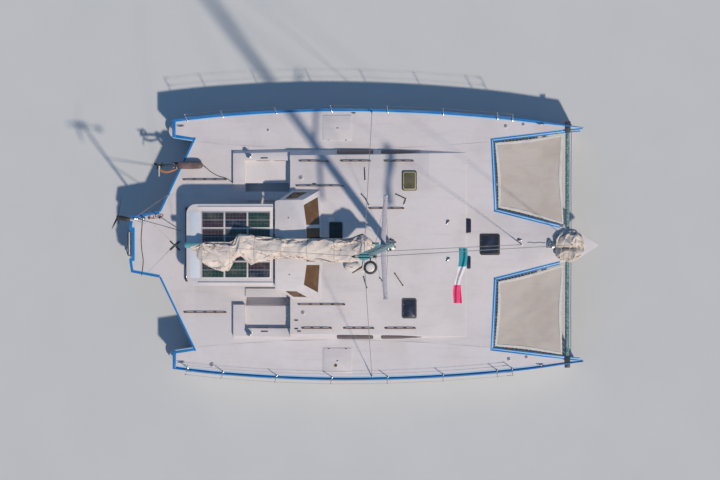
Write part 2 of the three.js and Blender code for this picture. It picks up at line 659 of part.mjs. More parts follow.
// Hard top: a slab with rounded aft corners and a raised lip along each side.
function hardtop() {
  const { aft, fore, half, z, thick, round, steps } = HARDTOP;
  const outline = [];
  for (let i = 0; i <= steps; i++) {
    const turn = Math.PI - (i / steps) * (Math.PI / 2);
    outline.push([aft + round + round * Math.cos(turn), half - round + round * Math.sin(turn)]);
  }
  outline.push([fore, half]);
  const slab = prism(both(outline), z, z + thick);
  const lips = SIDES.map(({ s }) =>
    sideBox(s, LIP.aft, fore, LIP.y - LIP.wide / 2, LIP.y + LIP.wide / 2, z, z + LIP.high),
  );
  add("hardtop", join([slab, ...lips]), "white");
}

// Frame of tubes and beams that carries the hard top.
function hardtopFrame() {
  const under = HARDTOP.z - GAP;
  const half = POST.beam / 2;
  const parts = [];
  for (const { s } of SIDES) {
    parts.push(sideBox(s, POST.aft, POST.fore, POST.y - half, POST.y + half, under - 60, under));
    for (const x of POSTS) {
      const y = s * POST.y;
      parts.push(rod([x, y, DECK + GAP], [x, y, under - 30], POST.radius, 10));
    }
  }
  for (const x of POSTS) parts.push(box(x - half, x + half, -POST.y, POST.y, under - POST.beam, under));
  add("hardtop_frame", join(parts), "steel");
}

// Solar panels in columns and rows on one thin tray.
function solarPanels() {
  const { aft, fore, half, thick, tray, columns, rows, gap } = PANELS;
  const z = HARDTOP.z + HARDTOP.thick + GAP;
  const long = (fore - aft) / columns;
  const wide = (2 * half) / rows;
  const parts = [box(aft, fore, -half, half, z, z + tray)];
  for (let c = 0; c < columns; c++)
    for (let r = 0; r < rows; r++) {
      const x = aft + c * long + gap / 2;
      const y = -half + r * wide + gap / 2;
      parts.push(box(x, x + long - gap, y, y + wide - gap, z + tray - 2, z + thick));
    }
  add("solar_panels", join(parts), "panel");
}

// The raised blue band round each hull's deck edge and across its transom.
function toeRails() {
  const top = DECK + TOE_RAIL.high;
  const edge = HULL_SECTIONS.map(({ x, out }) => [x, out]);
  const inner = [...edge].reverse().map(([x, y], i) => [i === 0 ? x - 60 : x, y - TOE_RAIL.wide]);
  const [stern] = HULL_SECTIONS;
  for (const { name, s } of SIDES) {
    const band = prism([...edge, ...inner].map(([x, y]) => [x, s * y]), DECK + GAP, top);
    const across = sideBox(
      s,
      stern.x,
      stern.x + TOE_RAIL.wide,
      stern.inn + 10,
      stern.out - 20,
      DECK + GAP,
      top,
    );
    add(`toe_rail_${name}`, join([band, across]), "blue");
  }
}

// Distance of the hull's outer deck edge from the centreline at a place along the boat.
function deckEdge(x) {
  const i = HULL_SECTIONS.findIndex((section) => section.x >= x);
  const a = HULL_SECTIONS[i - 1];
  const b = HULL_SECTIONS[i];
  return a.out + ((x - a.x) / (b.x - a.x)) * (b.out - a.out);
}

// Stanchions that lean out, each in an upright socket, and two guard wires along each side.
function lifelines() {
  const { high, radius, foot, lean, socket, wire } = STANCHION;
  for (const { name, s } of SIDES) {
    const feet = STANCHIONS.map((x) => ({ x, y: s * (deckEdge(x) - foot) }));
    const parts = feet.flatMap(({ x, y }) => [
      rod([x, y, DECK + GAP], [x, y, DECK + socket], radius + 6),
      rod([x, y, DECK + 30], [x, y + s * lean, DECK + high], radius),
    ]);
    for (const share of [0.5, 0.97]) {
      const ends = feet.map(({ x, y }) => [x, y + s * lean * share, DECK + high * share]);
      for (let i = 0; i + 1 < ends.length; i++) parts.push(rod(ends[i], ends[i + 1], wire, 6));
    }
    add(`lifelines_${name}`, join(parts), "steel");
  }
}

// Crossbeams between the bows and the spine, with the trampolines behind them.
function foredeck() {
  const { x, z, radius, inner, outer } = FOREBEAM;
  const keepOff = spineForm(GAP);
  const ahead = box(x, 8000, -5000, 5000, 1000, 2000);
  for (const { name, s } of SIDES) {
    const hull = hullBody(s, GAP);
    const beam = rod([x, s * inner, z], [x, s * outer, z], radius, 16);
    add(`forebeam_${name}`, cut(beam, [hull, keepOff]), "dark");
    const net = [
      [FRONT_OUTER.x + GAP, FRONT_OUTER.y + NET.under],
      [x, outer + 100],
      [x, NET.under],
      [FRONT_INNER.x + GAP, FRONT_INNER.y - NET.under],
      [FRONT_INNER.x + GAP, FRONT_INNER.y],
      [FRONT_OUTER.x + GAP, FRONT_OUTER.y],
    ];
    const laid = prism(net.map(([px, py]) => [px, s * py]), NET.z - NET.thick, NET.z);
    const fatBeam = rod([x, s * 100, z], [x, s * (outer + 200), z], radius + 1, 16);
    add(`trampoline_${name}`, cut(laid, [hull, keepOff, fatBeam, ahead]), "net");
  }
}

// The mast tube, grown by grow mm all round.
function mastTube(grow) {
  const outline = [];
  for (let i = 0; i < 16; i++) {
    const turn = (i / 16) * 2 * Math.PI;
    const long = MAST.long / 2 + grow;
    const wide = MAST.wide / 2 + grow;
    outline.push([MAST.x + long * Math.cos(turn), wide * Math.sin(turn)]);
  }
  return prism(outline, MAST.foot - 100, MAST.top + grow);
}

// Mast on its step, with its spreaders, diamond stays, gooseneck ears and masthead crane.
function mast() {
  const { x, long, foot, top, step, crane } = MAST;
  const parts = [mastTube(0)];
  parts.push(box(x - step, x + step, -150, 150, foot - 100, foot + 30));
  for (const { s } of SIDES) {
    const tip = [x + SPREADER.forward, s * SPREADER.half, SPREADER.z];
    parts.push(rod([x, 0, SPREADER.z], tip, SPREADER.radius));
    for (const z of [DIAMOND.low, DIAMOND.high]) parts.push(rod([x, s * 40, z], tip, DIAMOND.radius, 6));
  }
  for (const z of [BOOM.z + BOOM.eye + GAP, BOOM.z - BOOM.eye - GAP - BOOM.plate])
    parts.push(box(BOOM_PIVOT - 28, x - long / 2 + 20, -25, 25, z, z + BOOM.plate));
  parts.push(box(x - crane, x + crane, -50, 50, top - 60, top + 40));
  add("mast", cut(join(parts), [roofForm(GAP)]), "alloy");
}

// One wire stay on an upright chainplate.
function stay({ foot, head }, radius) {
  const [x, y] = foot;
  const plate = box(x - 25, x + 25, y - 12, y + 12, DECK + GAP, DECK + CHAINPLATE.high);
  return join([rod(foot, head, radius), plate]);
}

// Wire stays from the mast to the hulls and the spine.
function rigging() {
  const around = [mastTube(GAP)];
  const masthead = box(0, 2000, -200, 200, MAST.top - 60 - GAP, MAST.top + 200);
  add("forestay", cut(stay(FORESTAY, STAY_RADIUS + 1), [masthead]), "steel");
  add("inner_stay", cut(stay(INNER_STAY, STAY_RADIUS), around), "steel");
  for (const { name, s } of SIDES) {
    const foot = [CHAINPLATE.x, s * CHAINPLATE.y, DECK + 60];
    const head = [MAST.x - 20, s * 30, MAST.top - 400];
    add(`shroud_${name}`, cut(stay({ foot, head }, STAY_RADIUS), around), "steel");
  }
}

// A heap of lowered sail on a flat foot at height z.
function heap(table, z) {
  const rings = table.map(({ x, mid, half, high }) => {
    const ring = [];
    for (let i = 0; i <= HEAP_STEPS; i++) {
      const turn = (i / HEAP_STEPS) * Math.PI;
      ring.push([x, mid + half * Math.cos(turn), z + high * Math.sin(turn)]);
    }
    return ring;
  });
  return loft(rings);
}

// Boom with the lowered mainsail heaped on it, and the headsail heaped on the nose.
function sails() {
  const spar = rod([BOOM_PIVOT - 90, 0, BOOM.z], [BOOM.aft, 0, BOOM.z], BOOM.radius, 14);
  const eye = box(BOOM_PIVOT - 100, BOOM_PIVOT + 30, -25, 25, BOOM.z - BOOM.eye, BOOM.z + BOOM.eye);
  add("boom", join([spar, eye]), "alloy");
  add("mainsail_furled", heap(MAINSAIL, BOOM.z + BOOM.radius + GAP), "cloth");
  const [x] = FORESTAY.foot;
  const wire = rod(FORESTAY.foot, FORESTAY.head, STAY_RADIUS + 5, 12);
  const plate = box(x - 30, x + 30, -17, 17, DECK, DECK + 120);
  add("headsail_bundle", cut(heap(HEADSAIL, DECK + GAP), [wire, plate]), "cloth");
}

// Steering wheel on its console against the cockpit's forward bulkhead.
function steering() {
  const { x, y, z, radius, rim, hub, spokes } = WHEEL;
  const ring = new THREE.TorusGeometry(radius, rim, 8, 28);
  ring.rotateY(Math.PI / 2);
  ring.translate(x, y, z);
  const parts = [solid(ring), rod([x - hub, y, z], [CONSOLE.aft - GAP, y, z], hub, 12)];
  for (let i = 0; i < spokes; i++) {
    const turn = (i / spokes) * 2 * Math.PI;
    parts.push(rod([x, y, z], [x, y + radius * Math.sin(turn), z + radius * Math.cos(turn)], 10));
  }
  add("steering_wheel", join(parts), "steel");
}

// Opening hatches and locker lids.
function lids() {
  const z = DECK + GAP;
  for (const { name, x0, x1, y0, y1, thick, roof, paint } of LIDS) {
    if (roof) {
      const tall = box(x0, x1, y0, y1, z, z + 600);
      add(name, cut(tall.intersect(roofForm(thick)), [roofForm(GAP)]), paint);
    } else add(name, box(x0, x1, y0, y1, z, z + thick), paint);
  }
}

// Sheet winches on pads on the coamings, and the anchor windlass.
function winches() {
  const { x, base, pad } = WINCH;
  for (const { name, s } of SIDES) {
    const y = s * WINCH.y;
    const block = box(x - pad, x + pad, y - pad, y + pad, COAMING.top + GAP, base + 5);
    const drum = turned(WINCH_PROFILE.map(([r, z]) => [r, z + base]), x, y);
    add(`winch_${name}`, join([block, drum]), "steel");
  }
  const { aft, fore, half, high, drum, reach } = WINDLASS;
  const axle = [(aft + fore) / 2, DECK + high + 60];
  const roller = rod([axle[0], -reach, axle[1]], [axle[0], reach, axle[1]], drum, 14);
  add("windlass", join([box(aft, fore, -half, half, DECK + GAP, DECK + high), roller]), "steel");
}

// Turns a solid about the wind generator's pole.
function yawed(manifold) {
  const geometry = shape(manifold);
  geometry.translate(-WIND.x, -WIND.y, 0);
  geometry.rotateZ(-WIND.yaw);
  geometry.translate(WIND.x, WIND.y, 0);
  return solid(geometry);
}

// Wind generator on a braced pole at the platform's port corner, its rotor astern.
function windGenerator() {
  const { x, y, hub, pod, radius, neck, tail } = WIND;
  const pole = [rod([x, y, DECK + GAP], [x, y, hub - neck], 30, 14)];
  for (const { top, foot } of BRACES) {
    pole.push(rod([x, y, top], [...foot, DECK + 20], 14));
    pole.push(rod([...foot, DECK + GAP], [...foot, DECK + 40], 24));
  }
  add("wind_generator_pole", join(pole), "steel");
  const body = [
    rod([x - pod, y, hub], [x + 200, y, hub], 75, 14),
    rod([x, y, hub - neck + GAP], [x, y, hub], 40, 14),
    rod([x + 100, y, hub], [x + tail, y, hub], 22),
    box(x + tail - 180, x + tail + 120, y - 6, y + 6, hub - 130, hub + 170),
  ];
  add("wind_generator_body", yawed(join(body)), "white");
  const rotor = [rod([x - pod - GAP, y, hub], [x - pod - 90, y, hub], 60, 14)];
  for (let i = 0; i < 3; i++) {
    const blade = new THREE.BoxGeometry(14, 90, radius);
    blade.translate(0, 0, radius / 2 + 20);
    blade.rotateZ(-0.3);
    blade.rotateX(((i + 0.3) * 2 * Math.PI) / 3);
    blade.translate(x - pod - 45, y, hub);
    rotor.push(solid(blade));
  }
  add("wind_generator_rotor", yawed(join(rotor)), "white");
}

// Boarding ladder hung on a bar across the notch of the aft platform, sloping out and down.
function ladder() {
  const [hx, hz] = LADDER.hinge;
  const [fx, fz] = LADDER.foot;
  const reach = PLATFORM.notch - GAP;
  const parts = [rod([hx, -reach, hz], [hx, reach, hz], 16, 12)];
  for (const { s } of SIDES) {
    const y = s * LADDER.half;
    parts.push(rod([hx, y, hz], [fx, y, fz], 17, 10));
  }
  for (let i = 0; i < LADDER.rungs; i++) {
    const share = (i + 0.25) / (LADDER.rungs - 0.6);
    const x = hx + (fx - hx) * share;
    const z = hz + (fz - hz) * share;
    const depth = i === 0 ? LADDER.topTread : LADDER.tread;
    parts.push(box(x - depth, x + depth, -LADDER.half, LADDER.half, z - 14, z + 14));
  }
  add("boarding_ladder", join(parts), "steel");
}

// Bracket of two arms and a beam that carries the outboard at the port diagonal edge.
function outboardBracket() {
  const { x, y, z } = OUTBOARD;
  const { out, half, low, high, beam } = BRACKET;
  const slope = (DIAGONAL_FORE.x - DIAGONAL_AFT.x) / (DIAGONAL_FORE.y - DIAGONAL_AFT.y);
  const edge = (at) => DIAGONAL_AFT.x + (at - DIAGONAL_AFT.y) * slope - GAP;
  const arms = SIDES.map(({ s }) => {
    const a = y + s * out - half;
    const b = y + s * out + half;
    const plan = [[x - 40, a], [edge(a), a], [edge(b), b], [x - 40, b]];
    return join([prism(plan, DECK - low, DECK - high), box(x - 40, x + 40, a, b, DECK - 100, z + 45)]);
  });
  const across = box(x + 60, x + 60 + beam, y - out - 5, y + out + 5, DECK - low + 20, DECK - high - 20);
  add("outboard_bracket", join([...arms, across]), "wood");
}

// Outboard motor tilted up, its cowl lying over the deck and its leg pointing astern.
function outboard() {
  const { x, y, z, end, half, cowlAft, cowlFore } = OUTBOARD;
  const ring = (at, w, low, high) => [
    [at, y + w, z + low + 30],
    [at, y + w * 0.8, z + high],
    [at, y - w * 0.8, z + high],
    [at, y - w, z + low + 30],
    [at, y - w * 0.7, z + low],
    [at, y + w * 0.7, z + low],
  ];
  const cowl = loft([
    ring(cowlAft, half * 0.6, -60, 90),
    ring(cowlAft + 120, half, -100, 150),
    ring(cowlFore - 90, half * 0.95, -100, 160),
    ring(cowlFore, half * 0.7, -70, 110),
  ]);
  const screw = OUTBOARD_SCREW;
  const body = [
    cowl,
    box(x - 60, cowlAft + 20, y - 60, y + 60, z - 45, z + 70),
    rod([x, y - 77 + GAP, z], [x, y + 77 - GAP, z], 16, 12),
    box(end + 90, x - 40, y - 42, y + 42, z - 20, z + 70),
    box(end, end + 190, y - 8, y + 8, z - 60, z + 60),
    box(end + 250, end + 268, y - 95, y + 95, z - 10, z + 190),
    rod([screw.x, y, z + 30], [screw.x, y, z + screw.low], 42, 12),
  ];
  add("outboard_motor", join(body), "canvas");
  const blades = [rod([screw.x, y, z + screw.low + GAP], [screw.x, y, z + screw.high], screw.hub, 12)];
  for (let i = 0; i < screw.blades; i++) {
    const blade = new THREE.BoxGeometry(70, screw.radius - 20, 10);
    blade.translate(0, (screw.radius + 20) / 2, 0);
    blade.rotateY(0.5);
    blade.rotateZ((i * 2 * Math.PI) / screw.blades + Math.PI);
    blade.translate(screw.x, y, z + (screw.low + screw.high) / 2);
    blades.push(solid(blade));
  }
  add("outboard_propeller", join(blades), "dark");
}

// Folding boom crutch lying on the aft deck.
function crutch() {
  const { x, y, long, wide, thick, turn } = CRUTCH;
  const bars = SIDES.map(({ s }) => {
    const bar = new THREE.BoxGeometry(long, wide, thick);
    bar.rotateZ(s * turn);
    bar.translate(x, y, DECK + GAP + thick / 2);
    return solid(bar);
  });
  add("boom_crutch", join(bars), "dark");
}

// Mainsheet traveller beam across the deck behind the cockpit.
function traveller() {
  const { aft, fore, half, low, high, feet } = TRAVELLER;
  const parts = [box(aft, fore, -half, half, DECK + low, DECK + high)];
  for (const y of feet) parts.push(box(aft + 10, fore - 10, y - 60, y + 60, DECK + GAP, DECK + 100));
  add("traveller_beam", join(parts), "alloy");
}

hulls();
rudders();
propellers();
decks();
coachroof();
pilothouse();
hardtop();
hardtopFrame();
solarPanels();
toeRails();
lifelines();
foredeck();
mast();
rigging();
sails();
steering();
lids();
winches();
windGenerator();
ladder();
outboardBracket();
outboard();
crutch();
traveller();

export default boat;
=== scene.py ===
"""Looks of a sailing catamaran afloat with its sails lowered, dressed on the frame of its solids."""

from __future__ import annotations

import json
import logging
import math
from dataclasses import dataclass
from enum import Enum
from typing import Callable, Iterable, Sequence

import bmesh
import bpy
from mathutils import Matrix, Vector, noise
from mathutils.bvhtree import BVHTree

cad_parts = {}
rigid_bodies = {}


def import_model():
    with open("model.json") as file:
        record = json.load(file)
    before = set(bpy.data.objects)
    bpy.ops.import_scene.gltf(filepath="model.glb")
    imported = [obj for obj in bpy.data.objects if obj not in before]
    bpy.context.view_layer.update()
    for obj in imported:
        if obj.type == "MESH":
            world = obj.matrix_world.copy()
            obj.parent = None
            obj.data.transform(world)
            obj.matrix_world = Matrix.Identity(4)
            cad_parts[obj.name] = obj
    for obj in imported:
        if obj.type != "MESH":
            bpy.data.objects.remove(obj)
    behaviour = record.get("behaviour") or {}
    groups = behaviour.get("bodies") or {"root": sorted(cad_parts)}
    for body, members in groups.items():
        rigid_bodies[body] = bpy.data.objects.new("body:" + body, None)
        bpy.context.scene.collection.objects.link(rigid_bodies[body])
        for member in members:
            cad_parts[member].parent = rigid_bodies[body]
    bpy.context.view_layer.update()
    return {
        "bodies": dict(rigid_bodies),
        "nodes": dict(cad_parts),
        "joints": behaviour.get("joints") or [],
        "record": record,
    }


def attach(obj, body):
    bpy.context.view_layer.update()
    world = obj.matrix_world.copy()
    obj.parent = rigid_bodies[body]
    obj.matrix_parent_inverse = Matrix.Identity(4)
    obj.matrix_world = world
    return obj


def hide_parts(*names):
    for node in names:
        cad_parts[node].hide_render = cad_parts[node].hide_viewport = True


LOG = logging.getLogger("catamaran")

Point = Sequence[float]
Colour = tuple[float, float, float, float]
Place = Callable[[float, float], Point]

# What the frame holds, once it is loaded
FRAME: dict = {}
# The materials by the name of their finish, once they are built
PAINTS: dict[str, bpy.types.Material] = {}

DECK = 1.6
# Gap between a fitting and what carries it
SEAT = 0.0003
# Distance of each hull's middle from the centreline
HULL_MIDDLE = 4.12
SIDES = (("port", 1), ("starboard", -1))
DECK_PANELS = (
    "bridgedeck", "saloon_bulkhead", "side_deck_port", "side_deck_starboard", "house_deck_port",
    "house_deck_starboard", "aft_deck", "foredeck",
)
# Frames that the sail cloth takes to buckle into its folds
SETTLE_FRAMES = 12

# Places along the boat where one deck panel runs on into the next
DECK_SEAMS = (-6.38, -6.3803, -2.989, -2.9887, 0.16, 0.1603)

# Where the hulls' deck starts and ends
STERN, STEM = -7.19, 7.5

# Hull sections: place along, outer and inner deck edge, half breadth at the waterline, depth of the bottom
HULL_SECTIONS = (
    (STERN, 4.47, 3.82, 0.27, -0.09),
    (-6.39, 4.57, 3.7, 0.37, -0.23),
    (-5.37, 4.67, 3.59, 0.46, -0.4),
    (-3.45, 4.79, 3.46, 0.57, -0.57),
    (-1.46, 4.845, 3.4, 0.61, -0.62),
    (0.53, 4.815, 3.42, 0.6, -0.62),
    (2.5, 4.72, 3.53, 0.52, -0.59),
    (4.25, 4.58, 3.66, 0.38, -0.53),
    (5.6, 4.43, 3.83, 0.24, -0.48),
    (6.6, 4.28, 3.99, 0.12, -0.43),
    (7.18, 4.19, 4.06, 0.055, -0.39),
    (STEM, 4.14, 4.1, 0.018, -0.36),
)
# Coachroof sections: place along, half width at the foot, half width at the top, height of the top edge
ROOF_SECTIONS = (
    (-4.982, 3.363, 3.15, 1.95),
    (-2.9, 3.39, 3.17, 1.995),
    (0.0, 3.385, 3.19, 1.925),
    (2.0, 3.33, 3.235, 1.76),
    (3.31, 3.27, 3.262, 1.612),
)


def tint(code: str) -> Colour:
    """Turn a hex colour code into a linear colour."""
    parts = [int(code[i : i + 2], 16) / 255 for i in (0, 2, 4)]
    red, green, blue = (c / 12.92 if c < 0.04045 else ((c + 0.055) / 1.055) ** 2.4 for c in parts)
    return (red, green, blue, 1.0)


def between(table: Sequence[Sequence[float]], x: float) -> list[float]:
    """Read a table of sections at a place between its rows.

    Args:
        table: Rows that start with their place and rise along it.
        x: The place to read.

    Returns:
        The row's values at x, the place left out.
    """
    index = 1
    while index < len(table) - 1 and x > table[index][0]:
        index += 1
    a, b = table[index - 1], table[index]
    share = min(1.0, max(0.0, (x - a[0]) / (b[0] - a[0])))
    return [p + (q - p) * share for p, q in zip(a[1:], b[1:])]


def eased(table: Sequence[Sequence[float]], x: float) -> list[float]:
    """Read a table of sections on a smooth curve through its rows.

    Args:
        table: Rows that start with their place and rise along it.
        x: The place to read.

    Returns:
        The curve's values at x, the place left out.
    """
    index = 1
    while index < len(table) - 1 and x > table[index][0]:
        index += 1
    rows = [table[max(0, min(len(table) - 1, index + step))] for step in (-2, -1, 0, 1)]
    span = rows[2][0] - rows[1][0]
    share = min(1.0, max(0.0, (x - rows[1][0]) / span))
    values = []
    for k in range(1, len(rows[0])):
        before = (rows[2][k] - rows[0][k]) / max(rows[2][0] - rows[0][0], 1e-6) * span
        after = (rows[3][k] - rows[1][k]) / max(rows[3][0] - rows[1][0], 1e-6) * span
        s2, s3 = share**2, share**3
        values.append(
            (2 * s3 - 3 * s2 + 1) * rows[1][k]
            + (s3 - 2 * s2 + share) * before
            + (3 * s2 - 2 * s3) * rows[2][k]
            + (s3 - s2) * after
        )
    return values


def curved(points: Sequence[Point], steps: int = 6) -> list[Vector]:
    """Lay a smooth path through a few points.

    Args:
        points: The points that the path passes.
        steps: How many stretches lie between two of them.

    Returns:
        The path's points.
    """
    rows = [(i, *point) for i, point in enumerate(points)]
    count = (len(points) - 1) * steps
    return [Vector(eased(rows, i / steps)) for i in range(count + 1)]


def facing(axis: Point) -> Matrix:
    """Turn that lays the upward axis along another."""
    return Vector(axis).to_track_quat("Z", "Y").to_matrix().to_4x4()


def thicken(sheet: bpy.types.Object, thickness: float, offset: float = 0.0) -> None:
    """Give a sheet its thickness.

    Args:
        sheet: The sheet's object.
        thickness: Its thickness.
        offset: Where the thickness lies, from -1 behind its faces to 1 before them.
    """
    solid = sheet.modifiers.new("thickness", "SOLIDIFY")
    solid.thickness = thickness
    solid.offset = offset


def sagging(start: Point, end: Point, sag: float, steps: int = 10) -> list[Vector]:
    """Lay a line that hangs a little between its two ends.

    Args:
        start: One end.
        end: The other end.
        sag: How far its middle hangs.
        steps: How many stretches it has.

    Returns:
        The line's points.
    """
    a, b = Vector(start), Vector(end)
    drop = Vector((0, 0, -4 * sag))
    return [a.lerp(b, i / steps) + drop * (i / steps) * (1 - i / steps) for i in range(steps + 1)]


class Form:
    """A mesh in the making, shaped with mesh operators and finished as one object."""

    def __init__(self) -> None:
        """Start with no faces and one UV map."""
        self.bm = bmesh.new()
        self.uv = self.bm.loops.layers.uv.new("UVMap")
        # How deep each point lies in a crease, which the sail cloth paints as shade
        self.crease = self.bm.verts.layers.float.new("crease")

    @classmethod
    def of(cls, node: str) -> Form:
        """Start from a merged copy of a solid.

        Args:
            node: The solid's name.

        Returns:
            The new form.
        """
        form = cls()
        form.bm.from_mesh(FRAME["nodes"][node].data)
        bmesh.ops.remove_doubles(form.bm, verts=form.bm.verts, dist=0.0004)
        bmesh.ops.dissolve_limit(
            form.bm, angle_limit=0.012, verts=form.bm.verts, edges=form.bm.edges,
            use_dissolve_boundaries=False,
        )
        form.uv = form.bm.loops.layers.uv.verify()
        return form

    def _paint(self, verts: Iterable[bmesh.types.BMVert], slot: int) -> None:
        """Give the faces on some points a material slot."""
        for face in {face for vert in verts for face in vert.link_faces}:
            face.material_index = slot

    def _soften(
        self, edges: Iterable[bmesh.types.BMEdge], width: float, segments: int = 2
    ) -> set[bmesh.types.BMVert]:
        """Bevel some edges.

        Args:
            edges: The edges.
            width: How far they are softened.
            segments: How many faces each of them gets.

        Returns:
            The points of the new faces and of the faces round them.
        """
        made = bmesh.ops.bevel(
            self.bm, geom=list(edges), offset=width, offset_type="OFFSET", affect="EDGES", segments=segments,
            profile=0.5, material=-1, clamp_overlap=True,
        )
        verts = {vert for face in made["faces"] for vert in face.verts}
        return verts | {vert for near in verts for face in near.link_faces for vert in face.verts}

    def block(
        self, low: Point, high: Point, slot: int = 0, bevel: float = 0.004, turn: Matrix | None = None
    ) -> None:
        """Add a box with softened edges.

        Args:
            low: Its lowest corner.
            high: Its highest corner.
            slot: Its material slot.
            bevel: How far its edges are softened.
            turn: A transform laid over it.
        """
        a, b = Vector(low), Vector(high)
        verts = bmesh.ops.create_cube(self.bm, size=1.0)["verts"]
        for vert in verts:
            vert.co = Vector(((a[i] + b[i]) / 2 + vert.co[i] * (b[i] - a[i]) for i in range(3)))
        if bevel:
            edges = {edge for vert in verts for edge in vert.link_edges}
            verts = self._soften(edges, min(bevel, min(b - a) * 0.45))
        if turn:
            bmesh.ops.transform(self.bm, matrix=turn, verts=list(verts))
        self._paint(verts, slot)

    def rod(
        self, start: Point, end: Point, radius: float, tip: float | None = None, sides: int = 12,
        slot: int = 0,
    ) -> None:
        """Add a round bar between two points.

        Args:
            start: The middle of its first end.
            end: The middle of its other end.
            radius: Its radius.
            tip: Its radius at the other end, where it tapers.
            sides: How many sides it has.
            slot: Its material slot.
        """
        a, b = Vector(start), Vector(end)
        turn = facing(b - a)
        verts = bmesh.ops.create_cone(
            self.bm, cap_ends=True, segments=sides, radius1=radius, radius2=radius if tip is None else tip,
            depth=(b - a).length, matrix=Matrix.Translation((a + b) / 2) @ turn,
        )["verts"]
        self._paint(verts, slot)

    def ball(self, centre: Point, size: float | Point, slot: int = 0, steps: int = 16) -> None:
        """Add a ball or an egg.

        Args:
            centre: Its middle.
            size: Its radius, or one for each axis.
            slot: Its material slot.
            steps: How many steps go round it.
        """
        radii = (size,) * 3 if isinstance(size, (int, float)) else size
        turn = Matrix.Translation(centre) @ Matrix.Diagonal((*radii, 1.0))
        verts = bmesh.ops.create_uvsphere(self.bm, u_segments=steps, v_segments=steps // 2, radius=1,
                                          matrix=turn)
        self._paint(verts["verts"], slot)

    def turned(
        self, profile: Sequence[Point], base: Point, axis: Point = (0, 0, 1), steps: int = 32, slot: int = 0
    ) -> None:
        """Turn a profile about an axis.

        Args:
            profile: Its points, as radius and height.
            base: Where height 0 stands.
            axis: The way that height rises.
            steps: How many steps go round it.
            slot: Its material slot.
        """
        verts = [self.bm.verts.new((radius, 0, height)) for radius, height in profile]
        edges = [self.bm.edges.new(pair) for pair in zip(verts, verts[1:])]
        made = bmesh.ops.spin(
            self.bm, geom=verts + edges, cent=(0, 0, 0), axis=(0, 0, 1), angle=math.tau, steps=steps,
            use_merge=True, use_duplicate=False,
        )["geom_last"]
        ends = [item for item in made if isinstance(item, bmesh.types.BMVert)]
        whole = set(ends) | set(verts)
        for _ in range(steps):
            whole |= {vert for near in list(whole) for edge in near.link_edges for vert in edge.verts}
        merged = [vert for vert in whole if vert.is_valid]
        bmesh.ops.remove_doubles(self.bm, verts=merged, dist=1e-5)
        merged = [vert for vert in merged if vert.is_valid]
        turn = facing(axis)
        bmesh.ops.transform(self.bm, matrix=Matrix.Translation(base) @ turn, verts=merged)
        self._paint(merged, slot)

    def flange(
        self, base: Point, reach: float, thick: float, neck: tuple[float, float], high: float,
        steps: int = 20
    ) -> None:
        """Add the round foot that holds a tube.

        Args:
            base: The middle of its underside.
            reach: Its radius.
            thick: The thickness of its rim.
            neck: Its radius over the rim and at the top.
            high: Its height.
            steps: How many steps go round it.
        """
        profile = [(0, 0), (reach, 0), (reach, thick), (neck[0], thick + 0.006), (neck[1], high), (0, high)]
        self.turned(profile, base, steps=steps)

    def plate(self, outline: Sequence[Point], rise: Point, slot: int = 0, bevel: float = 0.003) -> None:
        """Raise a flat outline into a plate.

        Args:
            outline: Its corners in order.
            rise: The way and distance that it is raised.
            slot: Its material slot.
            bevel: How far its edges are softened.
        """
        low = [self.bm.verts.new(point) for point in outline]
        face = self.bm.faces.new(low)
        made = bmesh.ops.extrude_face_region(self.bm, geom=[face], use_keep_orig=True)["geom"]
        high = [item for item in made if isinstance(item, bmesh.types.BMVert)]
        bmesh.ops.translate(self.bm, vec=rise, verts=high)
        verts = set(low) | set(high)
        if bevel:
            verts = self._soften({edge for vert in verts for edge in vert.link_edges}, bevel)
        self._paint(verts, slot)

    def skin(
        self, along: int, across: int, place: Place, closed: bool = False, capped: bool = False,
        slot: int = 0,
        scale: tuple[float, float] = (1.0, 1.0),
    ) -> list[bmesh.types.BMVert]:
        """Lay a grid onto a surface.

        Args:
            along: Its steps along.
            across: Its steps across.
            place: The point for a share along and a share across.
            closed: Whether its long edges meet.
            capped: Whether its two ends are closed.
            slot: Its material slot.
            scale: The size of the UV map along and across.

        Returns:
            The grid's points.
        """
        verts = bmesh.ops.create_grid(
            self.bm, x_segments=along, y_segments=across, size=1.0, calc_uvs=True
        )["verts"]
        for face in {face for vert in verts for face in vert.link_faces}:
            for loop in face.loops:
                co = loop.vert.co
                loop[self.uv].uv = ((co.x + 1) / 2 * scale[0], (co.y + 1) / 2 * scale[1])
            face.material_index = slot
        for vert in verts:
            vert.co = place((vert.co.x + 1) / 2, (vert.co.y + 1) / 2)
        if closed:
            bmesh.ops.remove_doubles(self.bm, verts=verts, dist=1e-6)
            verts = [vert for vert in verts if vert.is_valid]
        if capped:
            rim = {edge for vert in verts for edge in vert.link_edges if edge.is_boundary}
            for face in bmesh.ops.holes_fill(self.bm, edges=list(rim), sides=0)["faces"]:
                face.material_index = slot
        return verts

    def tube(
        self, points: Sequence[Point], radius: float | Callable[[float], float], sides: int = 8,
        slot: int = 0,
        flat: float = 1.0,
    ) -> None:
        """Lay a tube along a path.

        Args:
            points: The path's points.
            radius: Its radius, or the radius for a share of the path.
            sides: How many sides it has.
            slot: Its material slot.
            flat: Its height as a share of its width.
        """
        path = [Vector(point) for point in points]
        count = len(path) - 1
        length = sum((b - a).length for a, b in zip(path, path[1:]))
        frames: list[tuple[Vector, Vector]] = []
        side = Vector((0, 0, 1)).cross(path[1] - path[0])
        if side.length < 1e-4 * (path[1] - path[0]).length:
            side = Vector((0, 1, 0))
        for i in range(count + 1):
            ahead = (path[min(i + 1, count)] - path[max(i - 1, 0)]).normalized()
            side = (side - ahead * side.dot(ahead)).normalized()
            frames.append((side.copy(), ahead.cross(side)))

        def place(u: float, v: float) -> Vector:
            """Point on the tube."""
            i = round(u * count)
            reach = radius(u) if callable(radius) else radius
            turn = v * math.tau
            across, up = frames[i]
            return path[i] + across * math.cos(turn) * reach + up * math.sin(turn) * reach * flat

